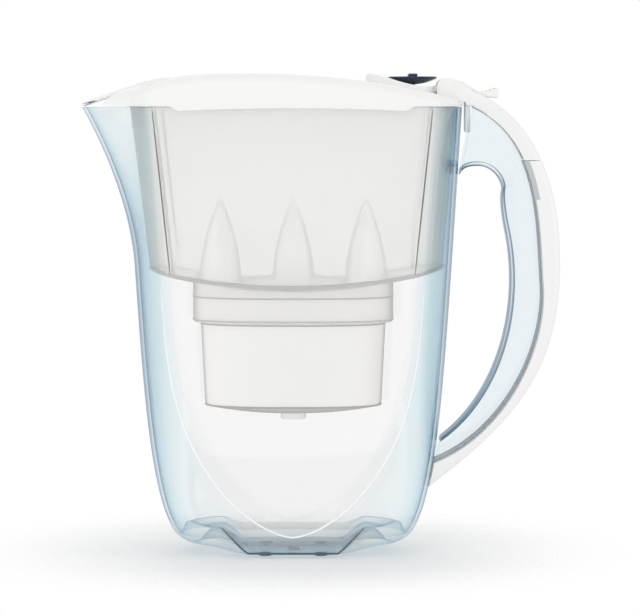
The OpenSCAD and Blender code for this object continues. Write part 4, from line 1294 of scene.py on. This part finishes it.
class PITCHER_OT_flap(bpy.types.Operator):
    """Builds the filling flap, the dial's housing and the thumb lever"""

    bl_idname = "pitcher.flap"
    bl_label = "Filling flap"

    def execute(self, context):
        jug, lid, dial = settings("jug"), settings("lid"), settings("dial")
        px, py = fill_outline(lid, jug, -lid.flap_gap)

        def plate(f, low, rise=0.0):
            """The flap at the share f of its outline. Its face lies 0.8 f^2 below the arch."""
            f = column(f)
            x = mix(fill_middle(lid), px, f)
            face = arch(lid, jug, x) - 0.8
            z = face - lid.flap_t if low else face + 0.8 * (1 - f * f)
            return ring_at(x, py * f, jug.rim_z + z + rise)

        f = np.concatenate([np.linspace(0.04, 0.96, 24), [0.975, 0.985]])
        flap = loft(
            plate(f, False), plate(0.994, False, -0.15), plate(1.0, False, -0.6), plate(1.0, True, 0.3),
            plate(0.995, True), plate(f[::-1], True),
        )
        piece("flap_plate", [flap], "flap", "white_moulded", ["fill_flap"])

        # The housing: rings round the dial, first in the bowl's seat, then out to a circle whose
        # middle lies housing_in nearer to the spout
        dial_x, inside, steps = dial_middle(jug, lid, dial), 14, 144
        t = turn(steps)[None, :]
        reach = np.sqrt(dial.housing_r**2 - (dial.housing_in * np.sin(t)) ** 2) - dial.housing_in * np.cos(t)
        brim = dial.radius + 0.2
        seat_r = np.broadcast_to(column(np.linspace(0.8, brim, inside)), (inside, steps))
        f = column(np.concatenate([[0.002], np.linspace(0.06, 0.9, 12), [0.95, 0.985, 1.0]]))
        r = np.concatenate([seat_r, mix(brim, np.maximum(reach, brim + 0.4), f)])
        x, y = dial_x + r * np.cos(t), r * np.sin(t)
        z = jug.rim_z + np.interp(x - dial_x + dial.housing_in, *np.transpose(HOUSING_TOP))
        z[:inside] = np.minimum(bowl(jug, dial, r[:inside]) - 0.2, z[:inside])
        z[inside:] -= 0.9 * np.clip((f - 0.9) / 0.1, 0, 1) ** 2
        saddle = loft(ring_at(x, y, z), ring_at(x[-1], y[-1], jug.rim_z + 6.6))
        piece("dial_saddle", [saddle], "flap", "white_moulded", ["dial_housing"], sharp=40)

        end = rim_end(jug)
        hinge, hinge_h, w = -lid.hinge_in, lid.hinge_h, lid.lever_half_w
        arm = end + [[hinge + 1, 14.6], [0, 14.2], [3, 12.2], [7, 9.6], [10.4, 8.4], [14, 8.7], [19.4, 10.6],
                     [20, 10.2], [20, 5.4], [19.4, 5], [12, 5.6], [8, 6.6], [4, 8.6], [hinge + 1, 10]]
        neck = end + [[hinge, hinge_h + 3.2], [-10, hinge_h + 2.6], [-13, 12.6], [-16.5, 11.6], [-16.5, 7.7],
                      [-8, 7.7], [hinge, hinge_h - 3.2]]
        parts = [rod(end[0] + hinge, end[1] + hinge_h, w, 3.3, 0.5)]
        parts += [slab(resample(chain(p, p[:1], shared=0), 90)[:-1], w, 0.7) for p in (arm, neck)]
        for i in range(4):
            x, z = end + [10.8 + 2.2 * i, 8.3 + 0.62 * i]
            parts.append(block((x, 1.4 - w, z), (x + 1, w - 1.4, z + 0.65), 0.3))
        piece("thumb_lever", parts, "flap", "white_moulded", ["flap_lever"])
        return {"FINISHED"}


class PITCHER_OT_dial(bpy.types.Operator):
    """Builds the dark dish, its turning disc with the finger ridge, and the rivet"""

    bl_idname = "pitcher.dial"
    bl_label = "Dial"

    def execute(self, context):
        jug, lid, dial = settings("jug"), settings("lid"), settings("dial")
        x = dial_middle(jug, lid, dial)
        top = jug.rim_z + dial.top_h
        flat = bowl_top(jug, dial)
        hub = 0.2
        r = np.linspace(hub, dial.radius, 28)
        dish = np.concatenate([
            np.stack([r, bowl(jug, dial, r)], axis=1),
            [[dial.radius - 0.15, flat - 0.02], [dial.radius - 0.5, flat], [hub, flat]],
        ])
        piece("dial_dish", [lathe(dish, 128, (x, 0, 0))], "flap", "dark_blue", ["dial_bowl"])
        foot = top - dial.depth - 0.6
        rivet = [[hub, foot], [1.5, foot], [1.5, top - 0.5], [1.2, top - 0.3], [hub, top - 0.3]]
        piece("dial_pin", [lathe(rivet, 48, (x, 0, 0))], "flap", "white_moulded", ["dial_rivet"])
        r, low, bore = dial.radius - dial.gap, flat + 0.1, 1.6
        disc = [[bore, top - 0.15], [r - 0.4, top - 0.12], [r - 0.1, top - 0.2], [r, top - 0.4],
                [r, low + 0.2], [r - 0.2, low], [bore, low]]
        disc = lathe(disc, 128, (x, 0, 0), loop=True)
        piece("dial_plate", [disc], "dial", "dark_blue", ["dial_disc"])
        w, half_len = dial.ridge_half_w, r - 2
        ridge = block((x - w, -half_len, top - 0.2), (x + w, half_len, top + dial.ridge_h), 0.7)
        piece("dial_grip", [ridge], "dial", "dark_blue", ["dial_ridge"])
        return {"FINISHED"}


# Materials


def add(tree, kind, inputs=None, **options):
    """Adds a shader node, sets its options, and sets or links its inputs."""
    node = tree.nodes.new("ShaderNode" + kind)
    for key, value in options.items():
        setattr(node, key, value)
    for key, value in (inputs or {}).items():
        if isinstance(value, bpy.types.NodeSocket):
            tree.links.new(value, node.inputs[key])
        else:
            node.inputs[key].default_value = value
    return node


def calc(tree, operation, *values, **options):
    """Adds a Math node and gives its output."""
    return add(tree, "Math", dict(enumerate(values)), operation=operation, **options).outputs["Value"]


def ramp(tree, factor, tones):
    """Adds a colour ramp through (position, tone) pairs and gives its output."""
    node = add(tree, "ValToRGB", {"Fac": factor})
    stops = node.color_ramp.elements
    while len(stops) < len(tones):
        stops.new(0.5)
    for stop, (position, tone) in zip(stops, tones):
        stop.position = position
        stop.color = linear(tone)
    return node.outputs["Color"]


def new_material(name, inputs, build=None, *values):
    """A material with one Principled shader. build(tree, shader, *values) adds nodes to it."""
    mat = bpy.data.materials.new(name)
    mat.use_nodes = True
    tree = mat.node_tree
    shader = tree.nodes["Principled BSDF"]
    for key, value in inputs.items():
        shader.inputs[key].default_value = value
    if build:
        build(tree, shader, *values)
    return mat


def clear_wall(tree, shader, tints, rough):
    """A thin clear wall: each face lets light through tinted, and mirrors 0.03 + 0.6 v^5 of it,
    v = 1 - cos of the angle to the surface. tints lists (v, tone) from square on to edge on."""
    facing = add(tree, "LayerWeight", {"Blend": 0.5}).outputs["Facing"]
    tint = ramp(tree, facing, tints)
    mirror = calc(tree, "MULTIPLY_ADD", calc(tree, "POWER", facing, 5.0), 0.6, 0.03)
    through = add(tree, "BsdfTransparent", {"Color": tint})
    gloss = add(tree, "BsdfGlossy", {"Color": (1, 1, 1, 1), "Roughness": rough})
    both = add(tree, "MixShader", {0: mirror, 1: through.outputs[0], 2: gloss.outputs[0]})
    tree.links.new(both.outputs[0], tree.nodes["Material Output"].inputs["Surface"])
    tree.nodes.remove(shader)


def outside_only(tree, shader):
    """Alpha 1 on front faces whose normal points away from the plane y = 0, else 0: a line on
    the wall's outer face that isn't seen through the wall from within."""
    place = add(tree, "TexCoord").outputs["Object"]
    face = add(tree, "NewGeometry").outputs
    where = add(tree, "SeparateXYZ", {"Vector": place}).outputs["Y"]
    normal = add(tree, "SeparateXYZ", {"Vector": face["Normal"]}).outputs["Y"]
    outer = calc(tree, "GREATER_THAN", calc(tree, "MULTIPLY", where, normal), 0.0)
    shown = calc(tree, "SUBTRACT", outer, face["Backfacing"], use_clamp=True)
    tree.links.new(shown, shader.inputs["Alpha"])


def moulded(tree, shader, scale_mm, spread, bump_mm):
    """Fine unevenness of moulded plastic: noise of scale_mm moves roughness and bump."""
    place = add(tree, "TexCoord").outputs["Object"]
    noise = add(tree, "TexNoise", {"Vector": place, "Scale": 1000 / scale_mm, "Detail": 3.0}).outputs["Fac"]
    rough = shader.inputs["Roughness"].default_value
    limits = {"From Min": 0.3, "From Max": 0.7, "To Min": rough - spread, "To Max": rough + spread}
    span = add(tree, "MapRange", {"Value": noise, **limits})
    bump = add(tree, "Bump", {"Height": noise, "Distance": bump_mm * MM, "Strength": 0.5})
    tree.links.new(span.outputs["Result"], shader.inputs["Roughness"])
    tree.links.new(bump.outputs["Normal"], shader.inputs["Normal"])


def edge_shaded(tree, shader, face, edge, start, full=1.0):
    """The colour goes from face to edge as the surface turns away: partly thicker plastic, partly painted
    shade.
    """
    facing = add(tree, "LayerWeight", {"Blend": 0.5}).outputs["Facing"]
    limits = {"From Min": start, "From Max": full}
    share = add(tree, "MapRange", {"Value": facing, **limits}, interpolation_type="SMOOTHSTEP")
    tones = {0: share.outputs["Result"], 6: linear(face), 7: linear(edge)}
    blended = add(tree, "Mix", tones, data_type="RGBA")
    tree.links.new(blended.outputs[2], shader.inputs["Base Color"])


def speckled(tree, shader, dark, light, scale_mm):
    """Grains: Voronoi cells of scale_mm in two tones."""
    place = add(tree, "TexCoord").outputs["Object"]
    cells = add(tree, "TexVoronoi", {"Vector": place, "Scale": 1000 / scale_mm}).outputs
    tones = ramp(tree, cells["Color"], ((0, dark), (1, light)))
    bump = add(tree, "Bump", {"Height": cells["Distance"], "Distance": 0.3 * MM})
    tree.links.new(tones, shader.inputs["Base Color"])
    tree.links.new(bump.outputs["Normal"], shader.inputs["Normal"])


def woven(tree, shader, light, dark, scale_mm):
    """A woven screen: two crossed wave patterns of scale_mm."""
    place = add(tree, "TexCoord").outputs["Object"]
    inputs = {"Vector": place, "Scale": 1000 / (6.28 * scale_mm)}
    waves = [add(tree, "TexWave", inputs, bands_direction=d).outputs["Fac"] for d in ("X", "Y")]
    tones = ramp(tree, calc(tree, "MULTIPLY", *waves), ((0, light), (1, dark)))
    tree.links.new(tones, shader.inputs["Base Color"])


def fading(tree, shader, start, end):
    """Opacity falls from 1 to 0 between two distances in mm from the object's origin."""
    place = add(tree, "TexCoord").outputs["Object"]
    away = add(tree, "VectorMath", {0: place}, operation="LENGTH").outputs["Value"]
    limits = {"From Min": start * MM, "From Max": end * MM, "To Min": 1.0, "To Max": 0.0}
    span = add(tree, "MapRange", {"Value": away, **limits}, interpolation_type="SMOOTHERSTEP")
    tree.links.new(span.outputs["Result"], shader.inputs["Alpha"])


def opaque(tone, rough, ior=1.45, coat=None):
    """Shader inputs of a finish with one tone. coat is the (weight, roughness) of its gloss."""
    inputs = {"Base Color": linear(tone), "Roughness": rough, "IOR": ior}
    if coat:
        inputs["Coat Weight"], inputs["Coat Roughness"] = coat
    return inputs


def with_painted_glow(rough, ior=1.45, through=0.0):
    """Shader inputs of a milky plastic with a painted glow: a faint emission stands in for light that it
    gathers from all sides and gives back. It lets the share through pass."""
    return {"Transmission Weight": through, "Roughness": rough, "IOR": ior,
            "Emission Color": (1, 0.99, 0.98, 1), "Emission Strength": 0.05}


# Tints of the clear walls, from square on to edge on
JUG_TINTS = ((0.0, "#FBFBFB"), (0.06, "#FBFBFB"), (0.4, "#F8FBFC"), (0.6, "#EFF6F8"), (0.72, "#E8F0F5"),
             (0.84, "#BDD1DE"), (0.93, "#779DB6"), (1.0, "#335F7E"))
BASE_LIT_TINTS = ((0.0, "#FBFBFB"), (0.4, "#F8FBFC"), (0.6, "#F1F7F9"), (0.84, "#DAE7EE"), (0.93, "#A9C4D4"),
              (1.0, "#335F7E"))
CHANNEL_TINTS = ((0.0, "#F8FAFB"), (0.12, "#F4F8FA"), (0.3, "#E6EEF3"), (0.5, "#B4CAD8"), (0.72, "#6D94AD"),
                 (1.0, "#2F5672"))

# Every finish: its material's name, its shader inputs, what builds its nodes, and values for that
FINISHES = {
    # Clear copolyester, polished: pale at right angles and steel-blue at its edges
    "clear_jug": ("jug copolyester, clear pale blue, polished mould", {}, clear_wall, JUG_TINTS, 0.04),
    # Painted light: the base's plates lie nearly edge on, and the light from the floor keeps them pale, so
    # they get a paler copy of the tints
    "clear_base_lit": ("jug copolyester, clear, polished base", {}, clear_wall, BASE_LIT_TINTS, 0.04),
    # The handle's channel looks deeper, as most of it is seen edge on
    "clear_handle": ("handle copolyester, clear blue, polished mould", {}, clear_wall, CHANNEL_TINTS, 0.06),
    # Painted highlight: the ridge's crest shows as a white line, drawn as opaque white tubes
    "ridge": ("jug copolyester, frosted crest of the ridge", opaque("#FFFFFF", 0.5), outside_only),
    # Painted shade: the clear wall is thickest at the plinth's corners and bends the light away there, so
    # dark lines stand in for it
    "plinth_shade": ("jug copolyester, dark edge of the plinth", opaque("#53626B", 0.3, 1.55), outside_only),
    # Light passes the thin milky walls, and shapes behind them blur. They get a painted glow, and painted
    # shade towards their edges, partly from thicker plastic
    "milky": ("funnel polypropylene, milky, fine satin mould", with_painted_glow(0.1, 1.2, 0.72),
              edge_shaded, "#F9F8F6", "#A3A2A0", 0.35),
    # The well is moulded thicker, so hardly any light comes straight through it; it too gets a painted glow
    # and painted edge shade
    "milky_thick": ("funnel polypropylene, thick milky well", with_painted_glow(0.3, 1.2, 0.3),
                    edge_shaded, "#FFFCF9", "#B3B0AD", 0.4),
    # Painted shade: light runs out of the plastic's edges where they are seen end on and leaves them grey, so
    # grey lines and rings stand in for it
    "milky_corner_shade": ("funnel polypropylene, dark line at the corners", opaque("#6B6B6C", 0.4)),
    "milky_band_shade": ("funnel polypropylene, thick edge round the floor", opaque("#CFCCC9", 0.4)),
    "warm_edge_shade": ("cartridge polypropylene, thick moulded edge", opaque("#B4B0AC", 0.4)),
    # Warm off-white, almost opaque, with a painted glow: soft satin faces with painted shade as they turn
    # away, partly from thicker plastic
    "warm_shell": ("cartridge polypropylene, warm off-white, satin mould", with_painted_glow(0.4),
                   edge_shaded, "#FFFBF7", "#98938F", 0.55),
    "warm_cap": ("cartridge polypropylene, off-white, satin mould", with_painted_glow(0.4),
                 edge_shaded, "#FFFCF9", "#ABA8A5", 0.45),
    "warm_pad": ("cartridge polypropylene, polished pull pads", with_painted_glow(0.25),
                 edge_shaded, "#EDEAE7", "#A8A5A2", 0.5),
    # White of the lid and the handle's cover: broad highlights that waver a little
    "white_moulded": ("lid polypropylene, white, glossy mould", opaque("#F4F4F3", 0.3, 1.49, (0.15, 0.12)),
                      moulded, 14, 0.05, 0.03),
    # Painted shade: the groove between the handle's core and cover, drawn as a matt grey strip with a fine
    # grain
    "grey_strip": ("handle strip elastomer, light grey, matt mould", opaque("#C2C5C8", 0.5, 1.5),
                   moulded, 4, 0.08, 0.02),
    # Elastomers: matt, with a fine grain that keeps them from shining
    "seal": ("seal elastomer, grey white, matt mould", opaque("#D8D6D2", 0.6, 1.5), moulded, 3, 0.08, 0.02),
    "foot_pad": ("foot elastomer, slate blue, matt mould", opaque("#56697A", 0.6, 1.5),
                 moulded, 3, 0.08, 0.03),
    # Deep blue with small sharp highlights
    "dark_blue": ("dial polypropylene, dark blue, glossy mould", opaque("#1E3350", 0.22, 1.49, (0.3, 0.08)),
                  moulded, 10, 0.04, 0.02),
    # Fine grinding marks spread the pin's highlight
    "ground_steel": ("pin steel, ground", {"Metallic": 1.0, **opaque("#C9CACC", 0.28, 1.5)},
                     moulded, 1, 0.06, 0.005),
    # Seen only with the cartridge opened: grains in two tones, and a weave
    "granules": ("filter bed, granules", {"Roughness": 0.8, "IOR": 1.5}, speckled, "#8B8780", "#D8D2C6", 1.2),
    "screen": ("screen polyester, woven", {"Roughness": 0.7, "IOR": 1.5}, woven, "#DADAD6", "#9C9C98", 0.7),
}

_made = {}


def finish(name):
    """The material of that finish, made once."""
    if name not in _made:
        _made[name] = new_material(*FINISHES[name])
    return _made[name]


# Stage

# Where the lights look, in metres
PITCHER_MIDDLE = (0, 0, 0.13)


def area_light(name, place, size, power):
    """A soft white rectangular light at place, in metres, that looks at the pitcher's middle."""
    data = bpy.data.lights.new(name, "AREA")
    data.shape = "RECTANGLE"
    data.size, data.size_y = size
    data.energy = power
    obj = bpy.data.objects.new(name, data)
    obj.location = place
    x, y, z = np.array(PITCHER_MIDDLE) - place
    obj.rotation_euler = (math.atan2(math.hypot(x, y), -z), 0, math.atan2(y, x) - math.pi / 2)
    bpy.context.scene.collection.objects.link(obj)
    return obj


class PITCHER_OT_stage(bpy.types.Operator):
    """Builds the floor, the surround, the lights and the camera"""

    bl_idname = "pitcher.stage"
    bl_label = "Stage"

    def execute(self, context):
        stage = settings("stage")
        scene = context.scene
        scene.view_settings.view_transform = "Standard"
        world = bpy.data.worlds.new("surround")
        scene.world = world
        world.use_nodes = True
        tree = world.node_tree
        tree.nodes.clear()
        path = add(tree, "LightPath").outputs
        direct = calc(tree, "MAXIMUM", path["Is Camera Ray"], path["Is Transmission Ray"])
        soft = add(tree, "Background", {"Color": (1, 1, 1, 1), "Strength": stage.surround})
        seen = add(tree, "Background", {"Color": (*stage.backdrop, 1), "Strength": 1.0})
        both = add(tree, "MixShader", {0: direct, 1: soft.outputs[0], 2: seen.outputs[0]})
        add(tree, "OutputWorld", {"Surface": both.outputs[0]})

        board = new_material("floor, pale matt board", {"Base Color": (*stage.floor, 1), "Roughness": 0.6},
                             fading, stage.fade_start, stage.fade_end)
        reach = stage.floor_half * MM
        mesh = bpy.data.meshes.new("floor")
        mesh.from_pydata([(-reach, -reach, 0), (reach, -reach, 0), (reach, reach, 0), (-reach, reach, 0)], [],
                         [(0, 1, 2, 3)])
        mesh.materials.append(board)
        floor = bpy.data.objects.new("floor", mesh)
        scene.collection.objects.link(floor)
        area_light("front_box", (-0.3, -2.6, 0.5), (1.8, 2.4), stage.front)
        area_light("left_box", (-1.6, -0.5, 0.5), (1.4, 1.2), stage.side)
        area_light("right_box", (1.6, -0.5, 0.5), (1.4, 1.2), stage.side)
        area_light("back_box", (0, 2.0, 1.9), (2.4, 1.2), stage.back)

        data = bpy.data.cameras.new("camera")
        data.sensor_width = 36
        data.lens = stage.focal
        camera = bpy.data.objects.new("camera", data)
        drop = math.atan2(stage.eye_z - stage.aim_z, stage.distance)
        camera.location = (stage.aim_x * MM, -stage.distance * MM, stage.eye_z * MM)
        camera.rotation_euler = (math.pi / 2 - drop, 0, 0)
        scene.collection.objects.link(camera)
        scene.camera = camera
        return {"FINISHED"}


BUILDERS = (
    PITCHER_OT_jug,
    PITCHER_OT_feet,
    PITCHER_OT_handle,
    PITCHER_OT_funnel,
    PITCHER_OT_grips,
    PITCHER_OT_cartridge,
    PITCHER_OT_lid,
    PITCHER_OT_spout_cover,
    PITCHER_OT_rear_cap,
    PITCHER_OT_flap,
    PITCHER_OT_dial,
    PITCHER_OT_stage,
)


class PITCHER_PT_panel(bpy.types.Panel):
    """Lists the pieces in the order they are built"""

    bl_idname = "PITCHER_PT_panel"
    bl_label = "Water filter pitcher"
    bl_space_type = "VIEW_3D"
    bl_region_type = "UI"
    bl_category = "Pitcher"

    def draw(self, context):
        for builder in BUILDERS:
            self.layout.operator(builder.bl_idname)


def register():
    for cls in (*GROUPS.values(), *BUILDERS, PITCHER_PT_panel):
        bpy.utils.register_class(cls)
    for name, group in GROUPS.items():
        setattr(bpy.types.Scene, name, PointerProperty(type=group))


def unregister():
    for name in GROUPS:
        delattr(bpy.types.Scene, name)
    for cls in reversed((*GROUPS.values(), *BUILDERS, PITCHER_PT_panel)):
        bpy.utils.unregister_class(cls)


def main():
    """Builds every piece and the stage."""
    register()
    for builder in BUILDERS:
        group, name = builder.bl_idname.split(".")
        getattr(getattr(bpy.ops, group), name)()


if __name__ == "__main__":
    main()
